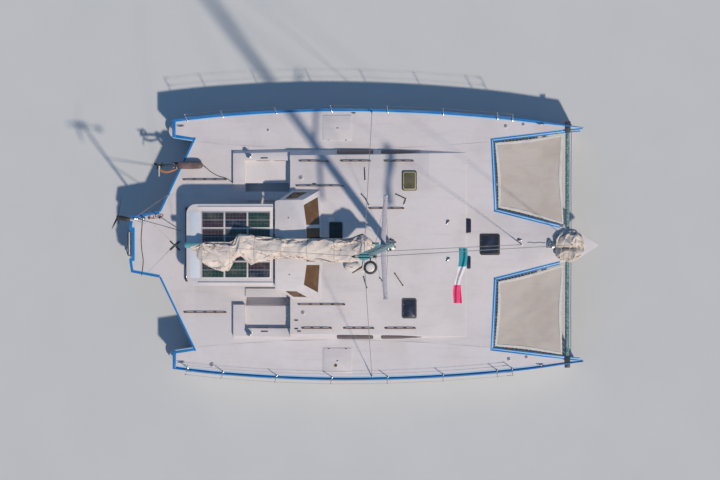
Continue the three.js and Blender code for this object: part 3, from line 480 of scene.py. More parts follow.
        self.skin(count, sides, place, closed=True, capped=True, slot=slot, scale=(length, 1.0))

    def hoop(
        self, centre: Point, radius: float, thick: float, axis: Point = (0, 0, 1), slot: int = 0
    ) -> None:
        """Add a closed ring.

        Args:
            centre: Its middle.
            radius: The radius of the ring.
            thick: The radius of its bar.
            axis: The way that it faces.
            slot: Its material slot.
        """
        turn = Matrix.Translation(centre) @ facing(axis)

        def place(u: float, v: float) -> Vector:
            """Point on the ring."""
            a, b = u * math.tau, v * math.tau
            reach = radius + thick * math.cos(b)
            return turn @ Vector((reach * math.cos(a), reach * math.sin(a), thick * math.sin(b)))

        self.skin(28, 8, place, closed=True, slot=slot)

    def ribbon(
        self, path: Sequence[Point], near: float, far: float, low: float, high: float, slot: int = 0
    ) -> None:
        """Lay a flat band beside a path, mitred at its corners.

        Args:
            path: The path's points in the plan.
            near: Distance of the band's first edge to the path's left.
            far: Distance of its other edge.
            low: Height of its underside.
            high: Height of its top.
            slot: Its material slot.
        """
        flat = [Vector((point[0], point[1])) for point in path]
        ways = [(b - a).normalized() for a, b in zip(flat, flat[1:])]
        count = len(flat) - 1

        def place(u: float, v: float) -> Vector:
            """Point on the band."""
            i = round(u * count)
            way = (ways[max(i - 1, 0)] + ways[min(i, count - 1)]).normalized()
            left = Vector((-way.y, way.x)) / max(0.3, way.dot(ways[min(i, count - 1)]))
            reach, z = ((near, low), (far, low), (far, high), (near, high))[round(v * 4) % 4]
            spot = flat[i] + left * reach
            return Vector((spot.x, spot.y, z))

        self.skin(count, 4, place, closed=True, capped=True, slot=slot)

    def screw(
        self, centre: Point, axis: Point, first: Point, reach: tuple[float, float], chord: float,
        taper: float = 0.0, pitch: tuple[float, float] = (0.95, 0.6), count: int = 3, slot: int = 0,
    ) -> None:
        """Set twisted blades round a hub.

        Args:
            centre: The hub's middle.
            axis: The way that the hub points.
            first: The way that the first blade points.
            reach: Radius where the blades start and end.
            chord: Their greatest width.
            taper: The share of their width that is gone at the tip.
            pitch: Their twist at the root, and how much of it is gone at the tip.
            count: How many blades there are.
            slot: Their material slot.
        """
        up = Vector(axis).normalized()
        out = (Vector(first) - up * up.dot(Vector(first))).normalized()
        turn = Matrix.Translation(centre) @ Matrix((out, up.cross(out), up)).transposed().to_4x4()
        for blade in range(count):
            spin = turn @ Matrix.Rotation(blade * math.tau / count, 4, "Z")

            def place(u: float, v: float, spin: Matrix = spin) -> Vector:
                """Point on one blade."""
                wide = chord * math.sin(math.pi * (0.16 + 0.8 * u)) ** 0.6 * (1 - taper * u)
                tilt = pitch[0] - pitch[1] * u
                a = math.cos(v * math.tau) * wide / 2
                b = math.sin(v * math.tau) * chord * (0.08 - 0.05 * u)
                flat = (a * math.cos(tilt) - b * math.sin(tilt), a * math.sin(tilt) + b * math.cos(tilt))
                return spin @ Vector((reach[0] + (reach[1] - reach[0]) * u, *flat))

            self.skin(12, 16, place, closed=True, capped=True, slot=slot)

    def place_at(self, turn: Matrix) -> None:
        """Move the whole form."""
        bmesh.ops.transform(self.bm, matrix=turn, verts=self.bm.verts)

    def round_edges(
        self, width: float, above: float = -99.0, least: float = 25.0, segments: int = 2,
        seams: Sequence[float] = (), breadth: float = 99.0,
    ) -> None:
        """Soften the form's sharp edges.

        Args:
            width: How far they are softened.
            above: Only edges over this height are softened.
            least: The smallest angle of a sharp edge, in degrees.
            segments: How many faces each softened edge gets.
            seams: Places along the boat where a neighbour carries the face on, so edges stay sharp.
            breadth: Distance from the centreline past which edges stay sharp too.
        """
        sharp = [
            edge for edge in self.bm.edges
            if len(edge.link_faces) == 2 and edge.calc_face_angle(0.0) > math.radians(least)
            and min(vert.co.z for vert in edge.verts) > above
            and max(abs(vert.co.y) for vert in edge.verts) < breadth
            and not any(all(abs(vert.co.x - seam) < 0.002 for vert in edge.verts) for seam in seams)
        ]
        self._soften(sharp, width, segments)

    def round_corners(self, width: float, longest: float, above: float) -> None:
        """Round the corners of a slab or of an opening through it.

        Args:
            width: The radius of the corners.
            longest: The longest edge through the slab that counts as a corner.
            above: Only edges over this height are rounded.
        """
        corners = [
            edge for edge in self.bm.edges
            if len(edge.link_faces) == 2 and edge.calc_length() < longest
            and edge.calc_face_angle(0.0) > math.radians(40)
            and min(vert.co.z for vert in edge.verts) > above
        ]
        self._soften(corners, width, 6)

    def split_paint(self, test: Callable[[bmesh.types.BMFace], int]) -> None:
        """Give each face the material slot that a test returns."""
        for face in self.bm.faces:
            face.material_index = test(face)

    def finish(
        self, name: str, slot: str, *paints: str, body: str = "boat", replaces: Sequence[str] = (),
        angle: float = 32.0,
    ) -> bpy.types.Object:
        """Turn the form into a finished object that rides on a body.

        Args:
            name: The object's name.
            slot: The record's material slot; not used.
            paints: The names of its finishes, in the order of the faces' slots.
            body: The body that it moves with.
            replaces: The solids that it stands for.
            angle: Edges over this angle stay sharp, in degrees.

        Returns:
            The object.
        """
        bmesh.ops.remove_doubles(self.bm, verts=self.bm.verts, dist=1e-6)
        bmesh.ops.recalc_face_normals(self.bm, faces=self.bm.faces)
        for face in self.bm.faces:
            face.smooth = True
        for edge in self.bm.edges:
            edge.smooth = len(edge.link_faces) == 2 and edge.calc_face_angle(0.0) < math.radians(angle)
        mesh = bpy.data.meshes.new(name)
        self.bm.to_mesh(mesh)
        self.bm.free()
        for paint in paints:
            mesh.materials.append(PAINTS[paint])
        obj = bpy.data.objects.new(name, mesh)
        bpy.context.scene.collection.objects.link(obj)
        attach(obj, body)
        if replaces:
            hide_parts(*replaces)
        LOG.info("%s: %d faces", name, len(mesh.polygons))
        return obj


class Graph:
    """A node tree while it is wired."""

    def __init__(self, tree: bpy.types.NodeTree) -> None:
        """Start from an empty tree."""
        self.tree = tree
        tree.nodes.clear()

    def feed(self, value: object, socket: bpy.types.NodeSocket) -> None:
        """Join an output to a socket, or set the socket's value."""
        if isinstance(value, bpy.types.NodeSocket):
            self.tree.links.new(value, socket)
        else:
            socket.default_value = value

    def node(self, kind: str, inputs: dict | None = None, **settings: object) -> bpy.types.Node:
        """Add a node.

        Args:
            kind: The node's type, without its prefix.
            inputs: Values or outputs for its sockets, by name or number.
            settings: Its other settings.

        Returns:
            The node.
        """
        node = self.tree.nodes.new(kind if kind.startswith("NodeGroup") else f"ShaderNode{kind}")
        for key, value in settings.items():
            setattr(node, key, value)
        for key, value in (inputs or {}).items():
            self.feed(value, node.inputs[key])
        return node

    def maths(self, operation: str, *values: object) -> bpy.types.NodeSocket:
        """Add a sum and return its result."""
        return self.node("Math", dict(enumerate(values)), operation=operation).outputs[0]

    def noise(
        self, vector: object, scale: object, detail: float = 3.0, rough: float = 0.55
    ) -> bpy.types.NodeSocket:
        """Add a noise texture and return its value."""
        inputs = {"Vector": vector, "Scale": scale, "Detail": detail, "Roughness": rough}
        return self.node("TexNoise", inputs).outputs[0]

    def stretch(self, vector: object, scale: Point) -> bpy.types.NodeSocket:
        """Stretch a pattern along its axes and return its vector."""
        return self.node("Mapping", {"Vector": vector, "Scale": scale}).outputs[0]

    def ramp(
        self, value: object, low: float, high: float, floor: float = 0.0, roof: float = 1.0
    ) -> bpy.types.NodeSocket:
        """Spread a value's range smoothly onto another and return it."""
        inputs = {"Value": value, 1: low, 2: high, 3: floor, 4: roof}
        return self.node("MapRange", inputs, interpolation_type="SMOOTHSTEP").outputs[0]

    def mix(self, share: object, first: object, second: object) -> bpy.types.NodeSocket:
        """Mix two colours and return the result."""
        return self.node("Mix", {0: share, 6: first, 7: second}, data_type="RGBA").outputs[2]

    def stain(self, colour: object, mask: object, amount: float, other: object) -> bpy.types.NodeSocket:
        """Let another colour show through a mask and return the result."""
        return self.mix(self.maths("MULTIPLY", mask, amount), colour, other)

    def relief(self, height: object, distance: float, strength: float) -> bpy.types.NodeSocket:
        """Raise a relief from a height and return its normal."""
        inputs = {"Height": height, "Distance": distance, "Strength": strength}
        return self.node("Bump", inputs).outputs[0]

    def group(self, tree: bpy.types.NodeTree, inputs: dict) -> bpy.types.Node:
        """Place a shared effect with its own values."""
        return self.node("Group", inputs, node_tree=tree)


class Texture(Enum):
    """How a surface is made close up."""

    MOULDED = "moulded"
    NON_SKID = "non_skid"
    BRUSHED = "brushed"
    WOVEN = "woven"
    TEAK = "teak"
    ROPE = "rope"
    CAST = "cast"


class Effects:
    """Shader node groups that several finishes share, each built once."""

    def __init__(self) -> None:
        """Build every group."""
        self.weather = self._weather()
        self.surface = {
            Texture.MOULDED: self._grain("Moulded grain", 0.5),
            Texture.NON_SKID: self._grain("Non-skid grain", 1.6),
            Texture.CAST: self._grain("Cast grain", 1.0),
            Texture.BRUSHED: self._brushed(),
            Texture.WOVEN: self._woven(),
            Texture.TEAK: self._teak(),
            Texture.ROPE: self._rope(),
        }

    @staticmethod
    def _start(name: str, values: dict[str, float], outputs: Sequence[str]) -> tuple[Graph, dict, dict]:
        """Start a node group.

        Args:
            name: Its name.
            values: Its number inputs and what they start at.
            outputs: Its outputs.

        Returns:
            The graph, its inputs and its outputs by name.
        """
        tree = bpy.data.node_groups.new(name, "ShaderNodeTree")
        tree.interface.new_socket(name="Vector", in_out="INPUT", socket_type="NodeSocketVector")
        for key, value in values.items():
            socket = tree.interface.new_socket(name=key, in_out="INPUT", socket_type="NodeSocketFloat")
            socket.default_value = value
        for key in outputs:
            tree.interface.new_socket(name=key, in_out="OUTPUT", socket_type="NodeSocketFloat")
        graph = Graph(tree)
        source = graph.node("NodeGroupInput")
        target = graph.node("NodeGroupOutput")
        starts = {item.name: item for item in source.outputs}
        ends = {item.name: item for item in target.inputs}
        return graph, starts, ends

    def _weather(self) -> bpy.types.NodeTree:
        """Stains, rain streaks, specks of dirt and worn edges."""
        g, start, end = self._start("Weather", {"Scale": 1.0}, ("Patches", "Streaks", "Specks", "Edges"))
        patches = g.noise(start["Vector"], start["Scale"], 6.0, 0.62)
        g.feed(g.ramp(patches, 0.42, 0.7), end["Patches"])
        long = g.stretch(start["Vector"], (0.35, 3.2, 3.2))
        streaks = g.noise(long, g.maths("MULTIPLY", start["Scale"], 2.3), 4.0, 0.6)
        g.feed(g.ramp(streaks, 0.5, 0.72), end["Streaks"])
        specks = g.noise(start["Vector"], g.maths("MULTIPLY", start["Scale"], 21.0), 2.0, 0.5)
        g.feed(g.ramp(specks, 0.66, 0.74), end["Specks"])
        point = g.node("NewGeometry").outputs["Pointiness"]
        breakup = g.noise(start["Vector"], g.maths("MULTIPLY", start["Scale"], 9.0), 3.0, 0.6)
        edges = g.maths("MULTIPLY", g.ramp(point, 0.51, 0.58), g.ramp(breakup, 0.4, 0.62))
        g.feed(edges, end["Edges"])
        return g.tree

    def _grain(self, name: str, ridge: float) -> bpy.types.NodeTree:
        """Small bumps of a moulded, cast or gritted face.

        Args:
            name: The group's name.
            ridge: How sharply the bumps stand out.

        Returns:
            The group.
        """
        g, start, end = self._start(name, {"Pitch": 0.004}, ("Height", "Shade"))
        scale = g.maths("DIVIDE", 1.0, start["Pitch"])
        cells = g.node("TexVoronoi", {"Vector": start["Vector"], "Scale": scale}).outputs["Distance"]
        bumps = g.maths("POWER", g.ramp(cells, 0.05, 0.6, 1.0, 0.0), ridge)
        g.feed(bumps, end["Height"])
        g.feed(g.noise(start["Vector"], g.maths("MULTIPLY", scale, 0.06), 3.0), end["Shade"])
        return g.tree

    def _brushed(self) -> bpy.types.NodeTree:
        """Fine lines left by brushing or drawing."""
        g, start, end = self._start("Brushed lines", {"Pitch": 0.002}, ("Height", "Shade"))
        scale = g.maths("DIVIDE", 1.0, start["Pitch"])
        lines = g.noise(g.stretch(start["Vector"], (0.03, 1.0, 0.3)), scale, 2.0)
        g.feed(lines, end["Height"])
        g.feed(g.noise(start["Vector"], g.maths("MULTIPLY", scale, 0.02), 4.0), end["Shade"])
        return g.tree

    def _woven(self) -> bpy.types.NodeTree:
        """Threads that cross over and under."""
        g, start, end = self._start("Woven threads", {"Pitch": 0.002}, ("Height", "Shade"))
        turns = g.maths("DIVIDE", math.pi, start["Pitch"])
        axes = g.node("SeparateXYZ", {"Vector": start["Vector"]}).outputs
        warp = g.maths("SINE", g.maths("MULTIPLY", axes[0], turns))
        weft = g.maths("SINE", g.maths("MULTIPLY", axes[1], turns))
        g.feed(g.maths("MULTIPLY_ADD", g.maths("MULTIPLY", warp, weft), 0.5, 0.5), end["Height"])
        g.feed(g.noise(g.stretch(start["Vector"], (1.0, 9.0, 1.0)), 6.0, 4.0), end["Shade"])
        return g.tree

    def _teak(self) -> bpy.types.NodeTree:
        """Long grain of oiled wood with fine pores."""
        g, start, end = self._start("Wood grain", {"Pitch": 0.01}, ("Height", "Shade"))
        scale = g.maths("DIVIDE", 1.0, start["Pitch"])
        long = g.stretch(start["Vector"], (0.06, 1.0, 1.0))
        grain = g.noise(long, scale, 5.0, 0.65)
        g.feed(g.ramp(grain, 0.35, 0.65), end["Shade"])
        g.feed(g.noise(long, g.maths("MULTIPLY", scale, 4.0), 2.0), end["Height"])
        return g.tree

    def _rope(self) -> bpy.types.NodeTree:
        """Strands that wind along a line's own map."""
        g, start, end = self._start("Laid strands", {"Pitch": 0.03}, ("Height", "Shade"))
        axes = g.node("SeparateXYZ", {"Vector": start["Vector"]}).outputs
        wind = g.maths("ADD", g.maths("DIVIDE", axes[0], start["Pitch"]), g.maths("MULTIPLY", axes[1], 3.0))
        strand = g.maths("ABSOLUTE", g.maths("SINE", g.maths("MULTIPLY", wind, math.pi)))
        g.feed(strand, end["Height"])
        g.feed(g.maths("MULTIPLY_ADD", g.noise(start["Vector"], 8.0, 3.0), 0.5,
                       g.maths("MULTIPLY", strand, 0.4)),
               end["Shade"])
        return g.tree


@dataclass(frozen=True)
class Material:
    """What every material shares.

    Attributes:
        name: The material's name.
    """

    name: str

    def surface(self, g: Graph, effects: Effects) -> dict[str, object]:
        """Wire the surface, which each kind of material does its own way."""
        raise NotImplementedError

    def build(self, effects: Effects) -> bpy.types.Material:
        """Build the material.

        Args:
            effects: The shared node groups.

        Returns:
            The material.
        """
        paint = bpy.data.materials.new(self.name)
        paint.use_nodes = True
        g = Graph(paint.node_tree)
        shader = g.node("BsdfPrincipled", self.surface(g, effects))
        g.node("OutputMaterial", {"Surface": shader.outputs[0]})
        return paint


@dataclass(frozen=True)
class Finish(Material):
    """A surface with its colour, wear and close-up texture.

    Attributes:
        base: Its main colour.
        stain: The colour of its dirt and fading.
        texture: How it is made close up.
        pitch: The size of that texture.
        relief: The height of that texture.
        rough: Its roughness.
        dirt: How strongly stains show.
        scale: How many stains lie in a metre.
        worn: The colour that shows where its edges are worn.
        metal: How metallic it is.
        coat: How strong its clear coat is.
        own_map: Whether its texture follows the piece's UV map.
    """

    base: str
    stain: str
    texture: Texture
    pitch: float
    relief: float
    rough: float
    dirt: float = 0.3
    scale: float = 1.0
    worn: str = ""
    metal: float = 0.0
    coat: float = 0.0
    own_map: bool = False

    def surface(self, g: Graph, effects: Effects) -> dict[str, object]:
        """Wire the surface.

        Args:
            g: The material's node tree.
            effects: The shared node groups.

        Returns:
            The shader's inputs.
        """
        place = g.node("TexCoord").outputs
        wear = g.group(effects.weather, {"Vector": place["Object"], "Scale": self.scale}).outputs
        vector = place["UV"] if self.own_map else place["Object"]
        close = g.group(effects.surface[self.texture], {"Vector": vector, "Pitch": self.pitch}).outputs
        soil = g.maths("MULTIPLY", wear["Patches"], self.dirt)
        colour = g.mix(soil, tint(self.base), tint(self.stain))
        colour = g.stain(colour, wear["Streaks"], self.dirt * 0.6, tint(self.stain))
        colour = g.stain(colour, wear["Specks"], self.dirt * 0.5, tint(self.stain))
        colour = g.stain(colour, close["Shade"], 0.18 + 0.2 * self.dirt, tint(self.stain))
        if self.worn:
            colour = g.stain(colour, wear["Edges"], 0.7, tint(self.worn))
        spread = g.maths("MULTIPLY_ADD", wear["Patches"], 0.16, self.rough)
        bump = g.relief(close["Height"], self.relief, 0.7)
        return {
            "Base Color": colour, "Roughness": spread, "Normal": bump, "Metallic": self.metal,
            "Coat Weight": self.coat, "Coat Roughness": 0.12,
        }


@dataclass(frozen=True)
class Acrylic(Material):
    """Smoked window acrylic with dust and fine crazing.

    Attributes:
        base: Its tint.
        haze: The colour of its dust.
        clear: How much light it lets through.
    """

    base: str
    haze: str
    clear: float = 0.25

    def surface(self, g: Graph, effects: Effects) -> dict[str, object]:
        """Wire the surface.

        Args:
            g: The material's node tree.
            effects: The shared node groups.

        Returns:
            The shader's inputs.
        """
        place = g.node("TexCoord").outputs["Object"]
        wear = g.group(effects.weather, {"Vector": place, "Scale": 3.0}).outputs
        dust = g.maths("MULTIPLY_ADD", wear["Patches"], 0.3, g.maths("MULTIPLY", wear["Specks"], 0.2))
        colour = g.mix(dust, tint(self.base), tint(self.haze))
        crazing = g.noise(place, 160.0, 3.0)
        bump = g.relief(crazing, 0.0004, 0.25)
        return {
            "Base Color": colour, "Roughness": g.maths("MULTIPLY_ADD", dust, 0.5, 0.08),
            "Normal": bump, "Metallic": 0.0, "Transmission Weight": self.clear, "IOR": 1.49,
        }


@dataclass(frozen=True)
class SailCloth(Material):
    """Weathered sail cloth with painted shade in its creases, painted dark crease lines and sewn panel
    seams.

    Attributes:
        base: Its colour.
        fold: The colour of the painted shade in its creases and crease lines, also used for its dirt, thread
            tone and seams.
        seams: The distance between its panel seams along its map, or 0 for none.
    """

    base: str
    fold: str
    seams: float = 0.0

    def surface(self, g: Graph, effects: Effects) -> dict[str, object]:
        """Wire the surface.

        Args:
            g: The material's node tree.
            effects: The shared node groups.

        Returns:
            The shader's inputs.
        """
        place = g.node("TexCoord").outputs
        wear = g.group(effects.weather, {"Vector": place["Object"], "Scale": 2.2}).outputs
        weave = g.group(effects.surface[Texture.WOVEN], {"Vector": place["UV"], "Pitch": 0.003}).outputs
        # Painted shade: the cloth darkens towards the fold colour where a point lies deep in a crease
        depth = g.node("Attribute", attribute_name="crease").outputs["Fac"]
        colour = g.stain(tint(self.base), g.ramp(depth, 0.15, 0.8), 0.8, tint(self.fold))
        soil = g.maths("MULTIPLY", g.maths("MAXIMUM", wear["Patches"], wear["Streaks"]), 0.18)
        colour = g.mix(soil, colour, tint(self.fold))
        colour = g.stain(colour, weave["Shade"], 0.25, tint(self.fold))
        height = weave["Height"]
        # Painted shade: thin dark lines along wandering creases, with a matching dent in the bump below
        lines = []
        for turn, width in ((0.6, 0.005), (-0.75, 0.004), (1.3, 0.003)):
            spun = g.node("Mapping", {"Vector": place["Object"], "Rotation": (0.3, 0.0, turn),
                                      "Scale": (0.7, 2.2, 1.6)})
            field = g.noise(spun.outputs[0], 1.3, 1.5, 0.4)
            edge = g.maths("ABSOLUTE", g.maths("SUBTRACT", field, 0.5))
            shown = g.ramp(g.noise(spun.outputs[0], 1.1, 1.0, 0.5), 0.46, 0.6)
            lines.append(g.maths("MULTIPLY", g.ramp(edge, width * 0.5, width * 2.0, 1.0, 0.0), shown))
        line = g.maths("MAXIMUM", g.maths("MAXIMUM", lines[0], lines[1]), lines[2])
        # The crease lines are painted into the colour as shade
        colour = g.stain(colour, line, 0.6, tint(self.fold))
        if self.seams:
            across = g.node("SeparateXYZ", {"Vector": place["UV"]}).outputs[0]
            share = g.maths("FRACT", g.maths("DIVIDE", across, self.seams))
            seam = g.ramp(g.maths("ABSOLUTE", g.maths("SUBTRACT", share, 0.5)), 0.012, 0.02, 1.0, 0.0)
            colour = g.stain(colour, seam, 0.35, tint(self.fold))
            height = g.maths("ADD", height, g.maths("MULTIPLY", seam, 2.0))
        bump = g.relief(height, 0.0008, 0.5)
        ruffle = g.noise(place["Object"], 18.0, 5.0, 0.55)
        folded = g.maths("SUBTRACT", g.maths("MULTIPLY", ruffle, 0.3), line)
        soft = g.node("Bump", {"Height": folded, "Distance": 0.02, "Strength": 0.6, "Normal": bump})
        return {
            "Base Color": colour, "Roughness": g.ramp(weave["Height"], 0.0, 1.0, 0.62, 0.85),
            "Normal": soft.outputs[0], "Sheen Weight": 0.15, "Sheen Roughness": 0.5,
        }


@dataclass(frozen=True)
class SolarCells(Material):
    """Dark cells in a grid with thin silver lines under glass.

    Attributes:
        cell: The size of one cell.
    """

    name: str = "solar cells"
    cell: float = 0.125

    def surface(self, g: Graph, effects: Effects) -> dict[str, object]:
        """Wire the surface.

        Args:
            g: The material's node tree.
            effects: The shared node groups.

        Returns:
            The shader's inputs.
        """
        place = g.node("TexCoord").outputs["Object"]
        axes = g.node("SeparateXYZ", {"Vector": place}).outputs
        wear = g.group(effects.weather, {"Vector": place, "Scale": 2.5}).outputs
        lines = []
        for axis in (0, 1):
            share = g.maths("FRACT", g.maths("DIVIDE", axes[axis], self.cell))
            lines.append(g.ramp(g.maths("ABSOLUTE", g.maths("SUBTRACT", share, 0.5)), 0.47, 0.49))
        grid = g.maths("MAXIMUM", lines[0], lines[1])
        fingers = g.maths("FRACT", g.maths("DIVIDE", axes[1], 0.01))
        fine = g.maths("MULTIPLY", g.ramp(fingers, 0.86, 0.95), 0.25)
        crystal = g.node("TexVoronoi", {"Vector": place, "Scale": 26.0}).outputs["Color"]
        tone = g.node("SeparateXYZ", {"Vector": crystal}).outputs[0]
        halves = g.node("Mapping", {
            "Vector": place, "Location": (5.98 / 0.8133, 1.17 / 0.2925, 0.0),
            "Scale": (1 / 0.8133, 1 / 0.2925, 0.0),
        }).outputs[0]
        cell = g.node("VectorMath", {0: halves}, operation="FLOOR").outputs[0]
        module = g.node("TexWhiteNoise", {"Vector": cell}, noise_dimensions="3D").outputs["Value"]
        colour = g.mix(g.ramp(tone, 0.0, 1.0, 0.1, 0.9), tint("141A2C"), tint("222C3E"))
        colour = g.mix(g.ramp(module, 0.4, 0.46), colour, tint("1A3A2C"))
        colour = g.mix(g.ramp(module, 0.68, 0.74), colour, tint("38242A"))
        rows = g.node("SeparateXYZ", {"Vector": halves}).outputs[1]
        lengthwise = g.maths("FRACT", g.maths("MULTIPLY", rows, 0.5))
        middle = g.ramp(g.maths("ABSOLUTE", g.maths("SUBTRACT", lengthwise, 0.5)), 0.014, 0.022, 1.0, 0.0)
        colour = g.stain(colour, middle, 0.8, tint("A4A4AE"))
        colour = g.mix(g.maths("MAXIMUM", g.maths("MULTIPLY", grid, 0.55), fine), colour, tint("8A95A0"))
        colour = g.stain(colour, wear["Patches"], 0.18, tint("8F8A80"))
        rough = g.maths("MULTIPLY_ADD", wear["Patches"], 0.25, 0.12)
        bump = g.relief(grid, 0.0005, 0.4)
        return {
            "Base Color": colour, "Roughness": rough, "Normal": bump, "Coat Weight": 0.6,
            "Coat Roughness": 0.05,
        }


@dataclass(frozen=True)
class Bunting(Material):
    """Light woven flag cloth in three plain bands along its map.

    Attributes:
        bands: The colours of its bands.
    """

    name: str = "flag cloth"
    bands: tuple[str, str, str] = ("1F97A6", "E6E4E8", "F0387C")

    def surface(self, g: Graph, effects: Effects) -> dict[str, object]:
        """Wire the surface.

        Args:
            g: The material's node tree.
            effects: The shared node groups.

        Returns:
            The shader's inputs.
        """
        place = g.node("TexCoord").outputs
        weave = g.group(effects.surface[Texture.WOVEN], {"Vector": place["UV"], "Pitch": 0.004}).outputs
        wear = g.group(effects.weather, {"Vector": place["Object"], "Scale": 3.0}).outputs
        along = g.node("SeparateXYZ", {"Vector": place["UV"]}).outputs[0]
        first = g.maths("GREATER_THAN", along, 0.64)
        second = g.maths("GREATER_THAN", along, 1.28)
        colour = g.mix(first, tint(self.bands[0]), tint(self.bands[1]))
        colour = g.mix(second, colour, tint(self.bands[2]))
        colour = g.stain(colour, wear["Patches"], 0.25, tint("A49C98"))
        bump = g.relief(weave["Height"], 0.0006, 0.5)
        return {
            "Base Color": colour, "Roughness": g.ramp(weave["Shade"], 0.2, 0.8, 0.6, 0.8),
            "Normal": bump, "Sheen Weight": 0.1,
        }


@dataclass(frozen=True)
class BottomPaint(Material):
    """Antifouling that is faded and slimy towards the waterline."""

    name: str = "bottom paint"

    def surface(self, g: Graph, effects: Effects) -> dict[str, object]:
        """Wire the surface.

        Args:
            g: The material's node tree.
            effects: The shared node groups.

        Returns:
            The shader's inputs.
        """
        place = g.node("TexCoord").outputs["Object"]
        wear = g.group(effects.weather, {"Vector": place, "Scale": 1.6}).outputs
        close = g.group(effects.surface[Texture.CAST], {"Vector": place, "Pitch": 0.006}).outputs
        height = g.node("SeparateXYZ", {"Vector": place}).outputs[2]
        slime = g.maths("MULTIPLY", g.ramp(height, -0.35, 0.0),
                        g.maths("MULTIPLY_ADD", wear["Streaks"], 0.5, 0.4))
        colour = g.stain(tint("1B2C52"), wear["Patches"], 0.5, tint("32486E"))
        colour = g.mix(slime, colour, tint("4A5B38"))
        bump = g.relief(close["Height"], 0.0015, 0.6)
        return {
            "Base Color": colour, "Roughness": g.ramp(wear["Patches"], 0.0, 1.0, 0.6, 0.85),
            "Normal": bump,
        }


FINISHES = {
    "gelcoat": Finish("white gelcoat", "DCD9DC", "B9B2AE", Texture.MOULDED, 0.02, 0.0004, 0.32, 0.3, 0.7, "",
                      0, 0.3),
    "deck": Finish("non-skid deck", "D6D3D6", "B4AEAC", Texture.NON_SKID, 0.006, 0.0012, 0.62, 0.32, 0.55),
    "roof": Finish("coachroof deck", "DAD7DA", "B7B0AD", Texture.NON_SKID, 0.006, 0.001, 0.58, 0.3, 0.7),
    "blue": Finish("blue enamel", "0B72BA", "2F86C2", Texture.MOULDED, 0.015, 0.0004, 0.36, 0.3, 2.0, "", 0,
                   0.3),
    "pale_blue": Finish("pale blue enamel", "9CCBEA", "B4CEDC", Texture.MOULDED, 0.015, 0.0004, 0.4, 0.4,
                        2.0),
    "steel": Finish("polished steel", "C9CBCE", "8F8A82", Texture.BRUSHED, 0.002, 0.0002, 0.2, 0.25, 4.0, "",
                    1.0),
    "alloy": Finish("pale teal mast paint", "5CAEB6", "3F8890", Texture.BRUSHED, 0.003, 0.0003, 0.42, 0.35,
                    1.4, "", 0.1),
    "lavender": Finish("pale grey paint", "B9B6C0", "94909C", Texture.MOULDED, 0.01, 0.0003, 0.45, 0.4, 2.0),
    "beam": Finish("teal painted beam", "2C6A72", "57888A", Texture.MOULDED, 0.01, 0.0004, 0.4, 0.4, 2.0,
                   "9FB0B0"),
    "bronze": Finish("propeller bronze", "8C6B36", "4F5B3C", Texture.CAST, 0.004, 0.0006, 0.35, 0.5, 5.0, "",
                     0.9),
    "teak": Finish("oiled teak", "53382C", "33251F", Texture.TEAK, 0.012, 0.0008, 0.6, 0.4, 3.0, "A08468"),
    "black": Finish("black moulding", "1B1C1E", "3B3B3A", Texture.CAST, 0.003, 0.0004, 0.5, 0.4, 4.0,
                    "5A5A58"),
    "rubber": Finish("grey rubber", "4A4D50", "6A6A68", Texture.CAST, 0.004, 0.0005, 0.7, 0.4, 4.0),
    "white_plastic": Finish("white plastic", "E2E0DC", "BDB6AA", Texture.MOULDED, 0.01, 0.0003, 0.4, 0.35,
                            3.0),
    "cowl": Finish("motor cowl paint", "5E4A4C", "8A7A74", Texture.MOULDED, 0.01, 0.0004, 0.42, 0.4, 3.0,
                   "9A948E"),
    "webbing": Finish("white webbing", "DEDCD6", "B0AAA0", Texture.WOVEN, 0.004, 0.001, 0.8, 0.35, 4.0),
    "knit": Finish("trampoline knit", "C8C1BA", "AC9F94", Texture.WOVEN, 0.012, 0.003, 0.85, 0.35, 1.1,
                   own_map=True),
    "rope": Finish("braided line", "D8D5CC", "9A9184", Texture.ROPE, 0.02, 0.002, 0.8, 0.35, 5.0,
                   own_map=True),
    "dark_rope": Finish("dark braided line", "4A4640", "2C2A28", Texture.ROPE, 0.02, 0.002, 0.8, 0.35, 5.0,
                        own_map=True),
    "wire": Finish("stranded wire", "A9ADB0", "6F7072", Texture.ROPE, 0.03, 0.001, 0.3, 0.3, 5.0, "", 0.9,
                   own_map=True),
    "brown_cloth": Finish("brown canvas", "6E5140", "4A382E", Texture.WOVEN, 0.003, 0.001, 0.85, 0.4, 3.0),
    "redwood": Finish("reddish teak", "A85A3A", "6E3C2A", Texture.TEAK, 0.01, 0.0006, 0.55, 0.35, 4.0,
                      "C08A66"),
    # Painted shade: slate blue-grey for the traveller beam, the colour it shows in the hard top's shadow
    "slate": Finish("slate alloy", "5C6C84", "4A5668", Texture.BRUSHED, 0.003, 0.0003, 0.4, 0.35, 2.0,
                    "8A98AA", 0.6),
    "bronzed": Finish("dark bronzed alloy", "3C3630", "5A5248", Texture.BRUSHED, 0.002, 0.0003, 0.4, 0.35,
                      3.0, "", 0.5),
    "red_rope": Finish("red braided line", "A8382E", "6E2A24", Texture.ROPE, 0.02, 0.002, 0.8, 0.35, 5.0,
                       own_map=True),
    "navy_cloth": Finish("navy canvas", "1C2A50", "2E3A5C", Texture.WOVEN, 0.003, 0.001, 0.85, 0.4, 3.0),
    "beige": Finish("beige moulding", "B5AE8A", "8E8870", Texture.MOULDED, 0.01, 0.0003, 0.45, 0.4, 3.0),
    "pale_cloth": Finish("pale canvas", "DEDAD8", "A8A29E", Texture.WOVEN, 0.003, 0.001, 0.85, 0.35, 3.0),
    "orange": Finish("faded orange plastic", "B4743F", "9A7A5C", Texture.MOULDED, 0.01, 0.0004, 0.5, 0.5,
                     4.0),
}
